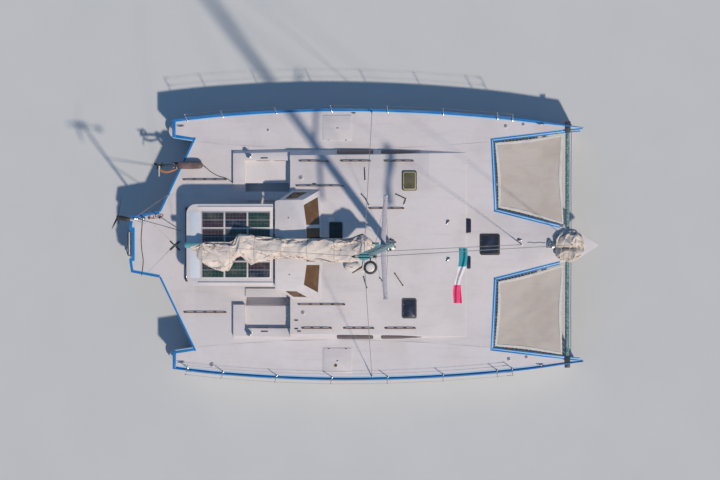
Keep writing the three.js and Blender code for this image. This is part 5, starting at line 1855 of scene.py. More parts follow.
@dataclass
class Rails:
    """Blue toe rails, guard rails and their fittings.

    Attributes:
        posts: Places of the guard rail posts along the boat.
        high: Height of the posts.
        lean: How far their tops lean out.
        foot: How far their feet stand inside the deck edge.
        wires: Shares of the posts' height where the wires run.
    """

    posts: tuple[float, ...] = (-6.65, -5.37, -3.45, -1.47, 0.53, 2.5, 4.41, 4.95)
    high: float = 0.62
    lean: float = 0.18
    foot: float = 0.1
    wires: tuple[float, float] = (0.5, 0.97)

    @staticmethod
    def _narrowed(x: float) -> float:
        """Share of the painted edge's width that is left towards the bow."""
        return min(1.0, 0.14 + (STEM - x) * 0.5)

    def _toe_rail(self, name: str, side: int) -> None:
        """Run the blue rail along a hull's deck edge and round its transom."""
        form = Form()

        def place(u: float, v: float) -> Vector:
            """Point on the rail's rounded section."""
            x = STERN + u * (STEM - 0.03 - STERN)
            out = eased(HULL_SECTIONS, x)[0]
            turn = v * math.tau
            wide = min(0.0275, 0.006 + (STEM - x) * 0.03)
            a = math.copysign(abs(math.cos(turn)) ** 0.5, math.cos(turn)) * wide
            b = math.copysign(abs(math.sin(turn)) ** 0.5, math.sin(turn)) * 0.0273
            return Vector((x, side * (out - wide + a), DECK + 0.0276 + b))

        form.skin(110, 16, place, closed=True, capped=True)
        low, high = sorted((side * 3.83, side * 4.45))
        form.block((STERN, low, DECK + SEAT), (-7.07, high, DECK + 0.055), bevel=0.016)
        inner = between(HULL_SECTIONS, -6.39)[1]
        start, end = Vector((-7.18, side * 3.84, 0)), Vector((-6.41, side * (inner + 0.02), 0))
        out = (end - start).normalized().cross(Vector((0, 0, 1))) * side
        for near, far, high, slot in ((0.0, 0.095, 0.012, 0), (-0.032, -0.002, 0.008, 1)):
            outline = [start - out * near, end - out * near, end - out * far, start - out * far]
            form.plate([(p.x, p.y, DECK - 0.002) for p in outline], (0, 0, high), slot=slot, bevel=0.003)
        form.finish(f"toe_rail_{name}_band", "blue", "blue", "pale_blue",
                    replaces=[f"toe_rail_{name}"])
        line = Form()

        def inner_line(u: float, v: float) -> Vector:
            """Point on the painted edge inside the rail, blue and then pale."""
            x = -7.12 + u * 14.45
            out = eased(HULL_SECTIONS, x)[0]
            reach = (0.05, 0.095, 0.096, 0.13)[round(v * 3)] * self._narrowed(x)
            return Vector((x, side * (out - reach), DECK + 0.005))

        line.skin(90, 3, inner_line)
        for face in line.bm.faces:
            middle = face.calc_center_median()
            edge = 0.0955 * self._narrowed(middle.x)
            face.material_index = int(eased(HULL_SECTIONS, middle.x)[0] - abs(middle.y) > edge)
        thicken(line.finish(f"toe_rail_{name}_line", "blue", "blue", "pale_blue"), 0.004, -1.0)

    def _guard_rail(self, name: str, side: int) -> None:
        """Build the posts in their sockets and the two wires with their end fittings."""
        form = Form()
        feet = [(x, side * (deck_edge(x) - self.foot)) for x in self.posts]
        for x, y in feet:
            form.turned([(0, 0), (0.036, 0), (0.036, 0.006), (0.02, 0.012), (0.019, 0.07), (0.015, 0.072),
                         (0, 0.072)],
                        (x, y, DECK + SEAT), steps=18)
            top = (x, y + side * self.lean, DECK + self.high)
            form.rod((x, y, DECK + 0.03), top, 0.013, 0.0115, sides=14)
            form.ball(top, 0.0125, steps=12)
            for share in self.wires:
                middle = (x, y + side * self.lean * share, DECK + self.high * share)
                form.hoop(middle, 0.014, 0.005, (0, side * 0.28, 0.96))
        for share in self.wires:
            ends = [Vector((x, y + side * self.lean * share, DECK + self.high * share)) for x, y in feet]
            for a, b in zip(ends, ends[1:]):
                form.tube(sagging(a, b, 0.006 * (b - a).length, 6), 0.0045, sides=6, slot=1)
            form.rod(ends[-1], ends[-1].lerp(ends[-2], 0.4), 0.009, sides=8)
            form.rod(ends[0], ends[0].lerp(ends[1], 0.14), 0.009, sides=8)
        form.finish(f"guard_rail_{name}", "steel", "steel", "wire", replaces=[f"lifelines_{name}"])

    def build(self) -> None:
        """Build both sides' rails."""
        for name, side in SIDES:
            self._toe_rail(name, side)
            self._guard_rail(name, side)


@dataclass
class Heap:
    """A lowered sail heaped in folds on what carries it.

    Attributes:
        name: The piece's name.
        table: Its sections: place, middle, half width and height.
        floor: The height of its underside.
        folds: Folds round it and how far they run askew along it.
        depth: How deep its large folds are.
        seed: Where its folds start.
        valley: Where a valley between two lobes lies across it, and its depth.
    """

    name: str
    table: tuple[tuple[float, float, float, float], ...]
    floor: float
    folds: tuple[float, float]
    depth: float
    seed: float
    valley: tuple[float, float] = (0.0, 0.0)

    def _fold(self, x: float, arc: float) -> float:
        """Height of the folds at a place.

        Args:
            x: The place along the heap.
            arc: The distance round it.

        Returns:
            The share of the fold's full height, from 0 to 1.
        """
        count, skew = self.folds
        wander = noise.noise(Vector((x * 0.9, arc * 0.7, self.seed)))
        flake = ((arc + x * skew) * count + wander * 1.2) % 1.0
        ridge = min(flake / 0.82, (1 - flake) / 0.18)
        cross = 1 - abs(noise.noise(Vector((x * 1.7 - arc * 1.2, arc * 1.5 + x * 0.9, self.seed + 7)))) * 2.6
        small = noise.noise(Vector((x * 5.0 + arc * 3.0, arc * 5.0 - x * 2.0, self.seed + 3)))
        return 0.5 * ridge + 0.42 * max(0.0, cross) + 0.08 * small

    def _place(self, u: float, v: float) -> Vector:
        """Point on the heap's skin, u along it and v over its top and back under it."""
        first, last = self.table[0][0], self.table[-1][0]
        x = first + (last - first) * u
        mid, half, high = between(self.table, x)
        close = min(1.0, math.sqrt(max(0.0, min(u, 1 - u) * 14)))
        if v >= 0.72:
            return Vector((x, mid + half * close * (2 * (v - 0.72) / 0.28 - 1), self.floor + 0.006))
        turn = v / 0.72 * math.pi
        out, rise = math.copysign(abs(math.cos(turn)) ** 0.8, math.cos(turn)), math.sin(turn) ** 0.62
        sink = self.depth * (1 - self._fold(x, v * (half + high) * 3.0))
        reach = close * max(0.2, 1 - sink / max(half, 0.1))
        tall = close * max(0.2, 1 - sink / max(high, 0.1))
        across, dip = self.valley
        y = mid + half * out * reach
        tall *= 1 - dip * math.exp(-(((y - across) / 0.09) ** 2))
        return Vector((x, y, self.floor + 0.012 + high * rise * tall))

    def build(self, along: int, around: int) -> Form:
        """Build the heap.

        Args:
            along: Its steps along.
            around: Its steps round.

        Returns:
            The form, still to be finished.
        """
        form = Form()
        length = abs(self.table[-1][0] - self.table[0][0])
        form.skin(along, around, self._place, closed=True, capped=True, scale=(length * 1.2, 3.0))
        return form

    def settle(self, cloth: bpy.types.Object, extra: float, limit: float) -> None:
        """Let the cloth buckle by simulation, and mark how deep each point lies in a crease, which the
        sail's material paints as shade.

        Args:
            cloth: The finished heap.
            extra: How much longer the cloth is than its shape, as a share.
            limit: How far a point may move.
        """
        mesh = cloth.data
        start = [vert.co.copy() for vert in mesh.vertices]
        held = cloth.vertex_groups.new(name="held")
        held.add([i for i, co in enumerate(start) if co.z < self.floor + 0.02], 1.0, "REPLACE")
        soft = cloth.modifiers.new("cloth", "CLOTH")
        soft.settings.quality = 4
        soft.settings.mass = 0.4
        soft.settings.vertex_group_mass = "held"
        soft.settings.shrink_min = -extra
        soft.settings.bending_stiffness = 0.25
        soft.settings.effector_weights.gravity = 0.25
        soft.point_cache.frame_start, soft.point_cache.frame_end = 1, SETTLE_FRAMES
        scene = bpy.context.scene
        for frame in range(1, SETTLE_FRAMES + 1):
            scene.frame_set(frame)
        moved = cloth.evaluated_get(bpy.context.evaluated_depsgraph_get()).data
        after = [vert.co.copy() for vert in moved.vertices]
        cloth.modifiers.remove(soft)
        cloth.vertex_groups.remove(held)
        scene.frame_set(1)
        for vert, co, now in zip(mesh.vertices, start, after):
            step = now - co
            vert.co = co + step * min(1.0, limit / max(step.length, 1e-6))
            vert.co.z = max(vert.co.z, self.floor + 0.003)
        form = bmesh.new()
        form.from_mesh(mesh)
        crease = form.verts.layers.float.get("crease") or form.verts.layers.float.new("crease")
        form.normal_update()
        # How hollow each point lies; the sail cloth darkens there as painted shade
        for vert in form.verts:
            ring = [edge.other_vert(vert).co for edge in vert.link_edges]
            hollow = sum((co - vert.co).normalized().dot(vert.normal) for co in ring) / max(len(ring), 1)
            vert[crease] = min(1.0, max(0.0, hollow * 3.0))
        form.to_mesh(mesh)
        form.free()


@dataclass
class Rig:
    """Mast, boom, stays, lowered sails, halyards and the small flag.

    Attributes:
        mast: Place, length and width of its section, foot and top.
        spreader: Height, half span and how far forward.
        boom: Height, aft end and radius.
        pivot: The place of the gooseneck.
        inner: Foot and head of the inner stay.
    """

    mast: tuple[float, float, float, float, float] = (0.569, 0.3, 0.19, 1.93, 19.0)
    spreader: tuple[float, float, float] = (6.9, 1.67, 0.09)
    boom: tuple[float, float, float] = (3.0, -6.52, 0.1)
    pivot: float = 0.359
    inner: tuple[Point, Point] = ((5.27, 0.0, 1.66), (0.719, 0.0, 13.05))

    def _mast(self) -> None:
        """Build the mast with its step, track, spreaders, diamonds and masthead gear."""
        x, long, wide, foot, top = self.mast
        form = Form()

        def tube(u: float, v: float) -> Vector:
            """Point on the mast's oval skin."""
            turn = v * math.tau
            z = foot - 0.02 + (top - foot + 0.02) * u
            return Vector((x + long / 2 * math.cos(turn), wide / 2 * math.sin(turn), z))

        form.skin(24, 32, tube, closed=True, capped=True)
        form.block((x - 0.21, -0.16, foot - 0.03), (x + 0.21, 0.16, foot + 0.03), slot=1, bevel=0.012)
        form.block((x - long / 2 - 0.012, -0.014, 3.9), (x - long / 2 + 0.006, 0.014, top - 0.1),
                   bevel=0.003)
        z, half, forward = self.spreader
        for side in (-1, 1):
            tip = Vector((x + forward, side * half, z))

            def wing(u: float, v: float, side: int = side, tip: Vector = tip) -> Vector:
                """Point on a spreader's flat streamlined section."""
                middle = Vector((x, side * 0.05, z)).lerp(tip, u)
                turn = v * math.tau
                return middle + Vector((0.085 * (1 - 0.2 * u) * math.cos(turn), 0, 0.024 * math.sin(turn)))

            form.skin(10, 16, wing, closed=True, capped=True, slot=3)
            form.ball(tip, (0.085, 0.04, 0.04), slot=3, steps=14)
            for k in range(6):
                rib = Vector((x, side * 0.05, z)).lerp(tip, 0.15 + k * 0.15)
                form.block(rib - Vector((0.07, 0.012, 0.026)), rib + Vector((0.07, 0.012, 0.028)), slot=3,
                           bevel=0.006)
            for height in (2.4, 13.2):
                form.tube(sagging((x, side * 0.06, height), tip, 0.0, 2), 0.006, sides=8, slot=1)
                low, high = sorted((side * wide * 0.4, side * (wide / 2 + 0.012)))
                form.block((x - 0.03, low, height - 0.05), (x + 0.03, high, height + 0.05), bevel=0.004)
        for height in (self.boom[0] + 0.0453, self.boom[0] - 0.0613):
            form.block((self.pivot - 0.028, -0.025, height), (x - long / 2 + 0.02, 0.025, height + 0.016),
                       bevel=0.003)
        for side in (-1, 1):
            form.block((x - 0.27, side * 0.034 - 0.008, top - 0.06),
                       (x + 0.33, side * 0.034 + 0.008, top + 0.03), slot=2,
                       bevel=0.003)
        for side in (-1, 1):
            form.turned([(0, -0.02), (0.05, -0.02), (0.05, -0.012), (0.036, 0), (0.05, 0.012), (0.05, 0.02),
                         (0, 0.02)],
                        (x + side * 0.27, 0, top - 0.03), (0, 1, 0), 20, slot=2)
        form.finish("mast_tube", "alloy", "alloy", "wire", "black", "lavender",
                    replaces=["mast"])

    def _masthead(self) -> None:
        """Fit the round anchor light, wind vane and aerial at the masthead."""
        x, top = self.mast[0], self.mast[4]
        form = Form()
        base = Vector((x + 0.16, -0.15, top - 0.03))
        form.rod((x + 0.16, -0.04, top - 0.03), base, 0.018, slot=1)
        form.turned([(0, 0), (0.16, 0), (0.175, 0.012), (0.175, 0.04), (0.13, 0.052), (0.13, 0.045),
                     (0, 0.045)],
                    base + Vector((0, -0.13, -0.02)), steps=36, slot=1)
        form.turned([(0, 0), (0.115, 0), (0.1, 0.012), (0.05, 0.02), (0, 0.021)],
                    base + Vector((0, -0.13, 0.022)), steps=32)
        arm = [(x - 0.05, -0.26, top - 0.03), (x - 0.16, -0.33, top - 0.02), (x - 0.3, -0.42, top - 0.02)]
        form.rod((x - 0.02, -0.04, top - 0.03), arm[0], 0.01, slot=1)
        form.tube(curved(arm, 4), lambda u: 0.028 - 0.014 * u, sides=8, slot=2)
        form.block((x - 0.12, -0.4, top - 0.05), (x + 0.02, -0.34, top - 0.02), slot=0)
        form.finish("masthead_gear", "white", "white_plastic", "black", "brown_cloth")

    def _stays(self) -> None:
        """Run the stays with their turnbuckles, toggles and chainplates."""
        x, top = self.mast[0], self.mast[4]
        lines = (
            ("forestay", (7.15, 0.0, 1.66), (x + 0.3, 0.0, top - 0.061), 0.01),
            ("inner_stay", *self.inner, 0.009),
            ("shroud_port", (-0.03, 4.7, 1.66), (x - 0.02, 0.09, top - 0.43), 0.009),
            ("shroud_starboard", (-0.03, -4.7, 1.66), (x - 0.02, -0.09, top - 0.43), 0.009),
        )
        for node, foot, head, radius in lines:
            form = Form()
            a, b = Vector(foot), Vector(head)
            way = (b - a).normalized()
            form.tube([a + (b - a) * i / 12 for i in range(13)], radius, sides=10, slot=1)
            form.block(a - Vector((0.025, 0.012, 0.0597)), a + Vector((0.025, 0.012, 0.05)), bevel=0.004)
            form.rod(a, a + way * 0.09, 0.018, sides=12)
            form.rod(a + way * 0.1, a + way * 0.36, 0.017, sides=14)
            form.rod(a + way * 0.36, a + way * 0.46, 0.013, sides=12)
            form.hoop(a, 0.02, 0.006, (0, 1, 0))
            form.finish(f"{node}_wire", "steel", "steel", "wire", replaces=[node])

    def _boom(self) -> None:
        """Build the boom with its end cap, gooseneck, sheet bails and topping lift."""
        z, aft, radius = self.boom
        form = Form()
        form.rod((self.pivot - 0.09, 0, z), (aft + 0.03, 0, z), radius, sides=32)
        form.turned([(0, 0), (radius, 0), (radius, 0.02), (radius * 0.85, 0.03), (0, 0.03)],
                    (aft + 0.03, 0, z), (-1, 0, 0), 32)
        form.block((self.pivot - 0.11, -0.022, z - 0.0425), (self.pivot + 0.024, 0.022, z + 0.0425),
                   bevel=0.006)
        form.rod((self.pivot, 0, z - 0.0444), (self.pivot, 0, z + 0.0444), 0.012, slot=1)
        for x in (-6.2, -4.3, -2.4):
            form.hoop((x, 0, z - 0.03), 0.1, 0.008, (1, 0, 0), slot=1)
        form.finish("boom_tube", "alloy", "alloy", "steel", body="boom_and_sail", replaces=["boom"])
        lift = Form()
        lift.tube([(aft + 0.05, 0, z + radius), (self.pivot, 0, self.mast[4] - 0.09)], 0.006, sides=6)
        lift.finish("topping_lift", "cloth", "wire", body="boom_and_sail")

    def _sails(self) -> None:
        """Heap the lowered mainsail on the boom and the headsail on the nose."""
        z, _, radius = self.boom
        main = Heap(
            "mainsail_heap",
            (
                (-6.33, -0.06, 0.13, 0.12), (-6.03, -0.21, 0.31, 0.2), (-5.85, -0.28, 0.39, 0.22),
                (-5.45, -0.37, 0.48, 0.25), (-5.16, -0.41, 0.52, 0.26), (-4.96, -0.4, 0.5, 0.26),
                (-4.87, -0.31, 0.44, 0.25), (-4.72, -0.13, 0.34, 0.24), (-4.62, -0.03, 0.4, 0.28),
                (-4.54, 0.02, 0.42, 0.3), (-4.3, -0.11, 0.48, 0.28), (-4.18, -0.17, 0.53, 0.26),
                (-4.0, -0.155, 0.48, 0.26), (-3.37, -0.09, 0.385, 0.27), (-2.9, -0.12, 0.34, 0.27),
                (-2.45, -0.13, 0.37, 0.28), (-1.8, -0.15, 0.43, 0.3), (-0.94, -0.18, 0.41, 0.42),
                (-0.7, -0.17, 0.43, 0.48), (-0.3, -0.05, 0.46, 0.56), (0.0, 0.0, 0.33, 0.54),
                (0.17, 0.0, 0.12, 0.5),
            ),
            z + radius + SEAT, (1.0, 0.5), 0.12, 4.0,
        )
        form = main.build(230, 68)
        cloth = form.finish("mainsail_heap", "cloth", "sail", body="boom_and_sail",
                            replaces=["mainsail_furled"], angle=75)
        main.settle(cloth, 0.14, 0.07)
        head = Heap(
            "headsail_heap",
            (
                (6.42, -0.04, 0.2, 0.16), (6.5, -0.04, 0.4, 0.3), (6.64, -0.04, 0.52, 0.4),
                (6.95, -0.04, 0.56, 0.46),
                (7.2, -0.04, 0.53, 0.46), (7.36, -0.03, 0.4, 0.34), (7.48, 0.0, 0.2, 0.18),
            ),
            DECK + SEAT, (1.5, 1.6), 0.14, 21.0, (-0.11, 0.5),
        )
        form = head.build(80, 80)
        cloth = form.finish("headsail_heap", "cloth", "headsail", replaces=["headsail_bundle"], angle=75)
        head.settle(cloth, 0.16, 0.05)

    def _flag(self) -> None:
        """Fly the small three-banded flag from the inner stay."""
        foot, head = (Vector(end) for end in self.inner)
        low, high = foot.lerp(head, 0.449), foot.lerp(head, 0.477)
        form = Form()

        def place(u: float, v: float) -> Vector:
            """Point on the flag, u out along its fly and v up its hoist."""
            gather = 1 - 0.35 * math.exp(-(((u - 0.55) / 0.16) ** 2))
            pleat = 0.045 * math.sin(v * 3 * math.pi + u * 4.0)
            sway = 0.05 * math.sin(u * 7.0) - 0.2 * u
            across = (v - 0.5) * 0.27 * gather
            drop = -0.3 * u**1.5 + pleat + across * 0.15
            return low.lerp(high, 0.5) + Vector((sway + across, -0.02 - 1.8 * u, drop))

        form.skin(90, 24, place, scale=(1.92, 1.0))
        flag = form.finish("flag", "cloth", "bunting", angle=80)
        thicken(flag, 0.002)

    def _running_rigging(self, ground: Ground) -> None:
        """Lead the halyards down the mast with their coils, and fit the mast's winches, clutches and the
        turning blocks round its foot.
        """
        x, long, wide, foot, top = self.mast
        form = Form()
        for angle, slot in ((0.3, 0), (0.9, 1), (-0.5, 0), (2.6, 0)):
            a, b = math.cos(angle) * (long / 2 + 0.012), math.sin(angle) * (wide / 2 + 0.012)
            form.tube([(x + a, b, foot + 0.2), (x + a * 1.01, b, 9.0), (x + a * 0.9, b * 0.9, top - 0.07)],
                      0.006, sides=6, slot=slot)
        for side, slot in ((1, 0), (-1, 1)):
            for k in range(3):
                centre = Vector((x + 0.02 * k, side * (wide / 2 + 0.035 + 0.012 * k), foot + 0.75 - 0.1 * k))
                form.hoop(centre, 0.09, 0.007, (0.12 * k, side, 0.1), slot=slot)
        form.finish("halyards", "cloth", "rope", "dark_rope")
        gear = Form()
        for side in (-1, 1):
            base = Vector((x + 0.02, side * wide / 2, foot + 0.95))
            gear.turned([(0, 0), (0.055, 0), (0.05, 0.02), (0.038, 0.04), (0.038, 0.075), (0.046, 0.09),
                         (0, 0.095)],
                        base, (0, side, 0), 24, slot=1)
            low, high = sorted((side * 0.06, side * 0.1))
            gear.block((x - 0.05, low, foot + 0.55), (x + 0.09, high, foot + 0.585), bevel=0.008)
        for angle in (0.4, 1.2, 2.0, 4.2, 5.0, 5.8):
            a, b = math.cos(angle) * 0.26, math.sin(angle) * 0.2
            base = Vector((x + a, b, ground.height(x + a, b)))
            gear.block(base + Vector((-0.03, -0.018, 0)), base + Vector((0.03, 0.018, 0.05)), bevel=0.008)
            gear.turned([(0, -0.012), (0.026, -0.012), (0.026, 0.012), (0, 0.012)],
                        base + Vector((0, 0, 0.035)), (0, 1, 0), 14)
        gear.finish("mast_foot_gear", "dark", "black", "steel")

    def build(self, ground: Ground) -> None:
        """Build the whole rig.

        Args:
            ground: The solids that fittings stand on.
        """
        self._mast()
        self._masthead()
        self._stays()
        self._boom()
        self._sails()
        self._flag()
        self._running_rigging(ground)


@dataclass
class Stern:
    """Everything abaft the hard top, from the blue edge bands to the wind generator.

    Attributes:
        edge: Corners of the port half of the aft deck's edge.
        notch: Place of the ladder's notch, and half its width.
        pole: Place of the wind generator's pole.
        hub: Height of its hub, and how far it is turned.
        hinge: Place and height of the ladder's hinge.
        foot: Place and height of the ladder's foot.
        motor: Place across and height of the outboard motor.
        cross: Place of the boom crutch.
        track: Place of the traveller's track.
    """

    edge: tuple[tuple[float, float], ...] = ((-6.39, 3.83), (-7.66, 1.19), (-8.685, 1.0), (-8.755, 0.54))
    notch: tuple[float, float] = (-8.615, 0.54)
    pole: tuple[float, float] = (-8.25, 0.93)
    hub: tuple[float, float] = (5.1, -0.22)
    hinge: tuple[float, float] = (-8.7, 1.545)
    foot: tuple[float, float] = (-9.23, -0.48)
    motor: tuple[float, float] = (2.83, 1.73)
    cross: tuple[float, float] = (-7.1, -0.05)
    track: float = -6.65

    def _bands(self) -> None:
        """Edge the aft deck and its platform in blue with a pale line inside."""
        form = Form()
        for side in (1, -1):
            for places, wide in ((self.edge[:2], 0.05), (self.edge[1:], 0.08)):
                path = [(x, side * y) for x, y in places][::side]
                form.ribbon(path, -0.008, wide, DECK - 0.075, DECK + 0.014)
                form.ribbon(path, wide + 0.002, wide + 0.024, DECK - 0.002, DECK + 0.006, slot=1)
        x, half = self.notch
        path = [(x - 0.125, half), (x, half), (x, -half), (x - 0.125, -half)]
        form.ribbon(path, -0.045, 0.05, DECK - 0.02, DECK + 0.015)
        form.ribbon(path, 0.052, 0.08, DECK - 0.002, DECK + 0.006, slot=1)
        form.finish("aft_deck_bands", "blue", "blue", "pale_blue")

    def _wind_pole(self) -> None:
        """Stand the wind generator's pole on its foot with two braces and its cable."""
        x, y = self.pole
        form = Form()
        form.rod((x, y, DECK + SEAT), (x, y, 4.9899), 0.03, 0.028, sides=28)
        form.flange((x, y, DECK + SEAT), 0.085, 0.008, (0.045, 0.036), 0.07, 28)
        for top, foot in ((3.3, (-7.33, 1.79)), (2.9, (-6.86, 0.48))):
            form.rod((x, y, top), (*foot, DECK + 0.02), 0.014, sides=16)
            form.turned([(0.031, -0.03), (0.04, -0.026), (0.04, 0.026), (0.031, 0.03)], (x, y, top),
                        steps=24)
            form.flange((*foot, DECK + SEAT), 0.05, 0.006, (0.024, 0.022), 0.035)
        cable = [(x + 0.036, y, DECK + 0.02), (x + 0.037, y, 2.6), (x + 0.036, y + 0.004, 3.8),
                 (x + 0.034, y, 4.95)]
        form.tube(curved(cable, 4), 0.007, sides=8, slot=1)
        for z in (2.2, 2.75, 3.6, 4.4):
            form.hoop((x + 0.004, y, z), 0.034, 0.004, slot=1)
        form.finish("wind_generator_mast", "steel", "steel", "black",
                    replaces=["wind_generator_pole"])

    def _wind_head(self) -> None:
        """Build the wind generator's pod with its tail and the rotor astern of it."""
        x, y = self.pole
        z, yaw = self.hub
        turn = Matrix.Translation((x, y, z)) @ Matrix.Rotation(yaw, 4, "Z")
        form = Form()
        form.turned([(0, -0.19), (0.055, -0.19), (0.072, -0.165), (0.077, -0.05), (0.074, 0.08),
                     (0.05, 0.165),
                     (0.024, 0.2), (0, 0.2)], (0, 0, 0), (1, 0, 0), 36)
        form.turned([(0, -0.1097), (0.039, -0.1097), (0.041, -0.08), (0.055, -0.05), (0, -0.03)], (0, 0, 0),
                    steps=24)
        for place in (-0.12, -0.08, -0.04, 0.0, 0.04):
            form.turned([(0.07, -0.005), (0.083, -0.004), (0.083, 0.004), (0.07, 0.005)], (place, 0, 0),
                        (1, 0, 0), 36)
        form.rod((0.1, 0, 0), (0.64, 0, 0), 0.021, 0.016, sides=16, slot=1)
        fin = [(0.46, -0.1), (0.53, -0.13), (0.72, -0.11), (0.76, -0.06), (0.76, 0.12), (0.73, 0.17),
               (0.66, 0.165),
               (0.55, 0.06), (0.46, 0.04)]
        form.plate([(a, -0.006, b) for a, b in fin], (0, 0.012, 0), slot=1, bevel=0.003)
        form.place_at(turn)
        form.finish("wind_generator_pod", "white", "black", "white_plastic", body="wind_head",
                    replaces=["wind_generator_body"])
        rotor = Form()
        rotor.turned([(0, 0), (0.06, 0), (0.06, 0.03), (0.052, 0.065), (0.03, 0.085), (0, 0.0895)],
                     (-0.1903, 0, 0), (-1, 0, 0), 32)
        first = (0, -math.sin(0.2 * math.pi), math.cos(0.2 * math.pi))
        rotor.screw((-0.235, 0, 0), (1, 0, 0), first, (0.04, 0.7), 0.105, taper=0.5, pitch=(0.5, 0.1))
        rotor.place_at(turn)
        rotor.finish("wind_generator_blades", "white", "black", body="wind_rotor",
                     replaces=["wind_generator_rotor"])

    def _ladder(self) -> None:
        """Build the boarding ladder with its slotted top tread and wooden steps."""
        hx, hz = self.hinge
        fx, fz = self.foot
        form = Form()
        form.rod((hx, -0.5397, hz), (hx, 0.5397, hz), 0.016, sides=20)
        for side in (-1, 1):
            y = side * 0.44
            form.rod((hx, y, hz), (fx, y, fz), 0.017, sides=20)
            form.ball((fx, y, fz), 0.0185, slot=3, steps=14)
            form.hoop((hx, y, hz), 0.021, 0.006, (0, 1, 0))
        for i in range(6):
            share = (i + 0.25) / 5.4
            x, z = hx + (fx - hx) * share, hz + (fz - hz) * share
            if i == 0:
                form.block((x - 0.08, -0.43, z - 0.014), (x + 0.08, 0.43, z + 0.006), slot=2, bevel=0.006)
                for low, high in ((-0.26, -0.09), (-0.02, 0.17), (0.22, 0.38)):
                    form.block((x - 0.03, low, z + 0.004), (x + 0.018, high, z + 0.0085), slot=3,
                               bevel=0.001)
                continue
            for k in range(3):
                low = x - 0.045 + k * 0.0315
                form.block((low, -0.425, z - 0.012), (low + 0.027, 0.425, z + 0.012), slot=1, bevel=0.004)
            form.block((x - 0.043, -0.42, z + 0.01), (x + 0.043, -0.1, z + 0.016), slot=3, bevel=0.002)
            for y in (-0.428, 0.428):
                form.block((x - 0.045, y - 0.01, z - 0.014), (x + 0.045, y + 0.01, z + 0.014), bevel=0.003)
        form.finish("boarding_ladder_frame", "steel", "steel", "redwood", "white_plastic",
                    "black", body="ladder", replaces=["boarding_ladder"])

    def _bracket(self) -> None:
        """Dress the outboard motor's wooden bracket with its bolts and clamp pads."""
        y, z = self.motor
        form = Form.of("outboard_bracket")
        form.round_edges(0.005)
        for side in (-1, 1):
            for x in (-7.22, -7.16):
                form.turned([(0, 0), (0.014, 0), (0.013, 0.006), (0, 0.008)],
                            (x, y + side * 0.113, 1.44), (0, side, 0), 12, slot=1)
            form.block((-7.199, y + side * 0.095 - 0.03, z - 0.05),
                       (-7.105, y + side * 0.095 + 0.03, z - 0.018),
                       slot=1, bevel=0.004)
        form.finish("outboard_bracket_arms", "wood", "teak", "steel", replaces=["outboard_bracket"])

    def _motor(self) -> None:
        """Build the tilted outboard motor, its cowl over the deck and its leg astern."""
        y, z = self.motor
        shaft, hinge = -7.67, -7.15
        table = (
            (-6.985, 0.05, -0.04, 0.07), (-6.95, 0.09, -0.075, 0.115), (-6.86, 0.122, -0.1, 0.148),
            (-6.5, 0.128, -0.104, 0.162), (-6.2, 0.12, -0.1, 0.158), (-6.115, 0.1, -0.08, 0.13),
            (-6.085, 0.05, -0.03, 0.07),
        )
        leg = (
            (-7.8, 0.006, -0.05, 0.03), (-7.73, 0.022, -0.03, 0.055), (-7.5, 0.036, -0.02, 0.066),
            (-7.21, 0.045, -0.03, 0.07), (-7.1, 0.058, -0.044, 0.07), (-6.96, 0.06, -0.045, 0.07),
        )
        form = Form()
        for rows, slot, power in ((table, 0, 0.62), (leg, 1, 0.75)):

            def section(u: float, v: float, rows: Sequence[Point] = rows, power: float = power) -> Vector:
                """Point on the rounded section of the cowl or the leg."""
                x = rows[0][0] + (rows[-1][0] - rows[0][0]) * u
                half, low, high = eased(rows, x)
                a, b = math.cos(v * math.tau), math.sin(v * math.tau)
                across = math.copysign(abs(a) ** power, a) * half
                rise = math.copysign(abs(b) ** power, b) * (high - low) / 2
                return Vector((x, y + across, z + (high + low) / 2 + rise))

            form.skin(40, 36, section, closed=True, capped=True, slot=slot)
        for side in (-1, 1):
            form.tube([(-6.9, y + side * 0.124, z + 0.028), (-6.5, y + side * 0.131, z + 0.03),
                       (-6.16, y + side * 0.118, z + 0.028)], 0.006, sides=6, slot=1)
            for k in range(4):
                x = -6.42 + k * 0.05
                form.block((x, y + side * 0.1 - 0.012, z + 0.112),
                           (x + 0.026, y + side * 0.1 + 0.014, z + 0.122),
                           slot=1, bevel=0.003)
            form.block((-7.2, y + side * 0.05 - 0.016, z - 0.035),
                       (-7.09, y + side * 0.05 + 0.016, z + 0.085),
                       slot=2, bevel=0.006)
            form.rod((-7.13, y + side * 0.068, z + 0.05), (-7.13, y + side * 0.076, z + 0.05), 0.028, slot=2)
        form.block((-6.115, y - 0.06, z + 0.02), (-6.07, y + 0.06, z + 0.05), slot=1, bevel=0.01)
        form.rod((hinge, y - 0.0767, z), (hinge, y + 0.0767, z), 0.0155, sides=18, slot=2)
        form.rod((-6.98, y, z + 0.075), (-7.45, y, z + 0.082), 0.011, slot=2)
        form.block((-7.55, y - 0.095, z - 0.01), (-7.534, y + 0.095, z + 0.18), slot=1, bevel=0.006)
        form.plate([(-7.61, y - 0.007, z - 0.03), (-7.8, y - 0.007, z - 0.06), (-7.795, y - 0.007, z - 0.01),
                    (-7.74, y - 0.007, z + 0.05), (-7.61, y - 0.007, z + 0.05)], (0, 0.014, 0), slot=1,
                    bevel=0.004)
        form.turned([(0, -0.05), (0.022, -0.04), (0.038, 0.0), (0.042, 0.06), (0.041, 0.13), (0.034, 0.17),
                     (0, 0.17)],
                    (shaft, y, z), steps=28, slot=1)
        form.finish("outboard_motor_body", "canvas", "cowl", "black", "steel",
                    body="outboard", replaces=["outboard_motor"])
        sling = Form()
        sling.tube(
            curved([(-7.61, y - 0.14, z + 0.05), (-7.55, y - 0.2, z + 0.055), (-7.36, y - 0.24, z + 0.05),
                    (-7.15, y - 0.19, z + 0.04), (-6.99, y - 0.13, z + 0.02)], 6),
            lambda u: 0.015 + 0.03 * math.sin(math.pi * min(1.0, 0.12 + u * 0.95)) ** 0.7, sides=12,
            flat=0.5,
        )
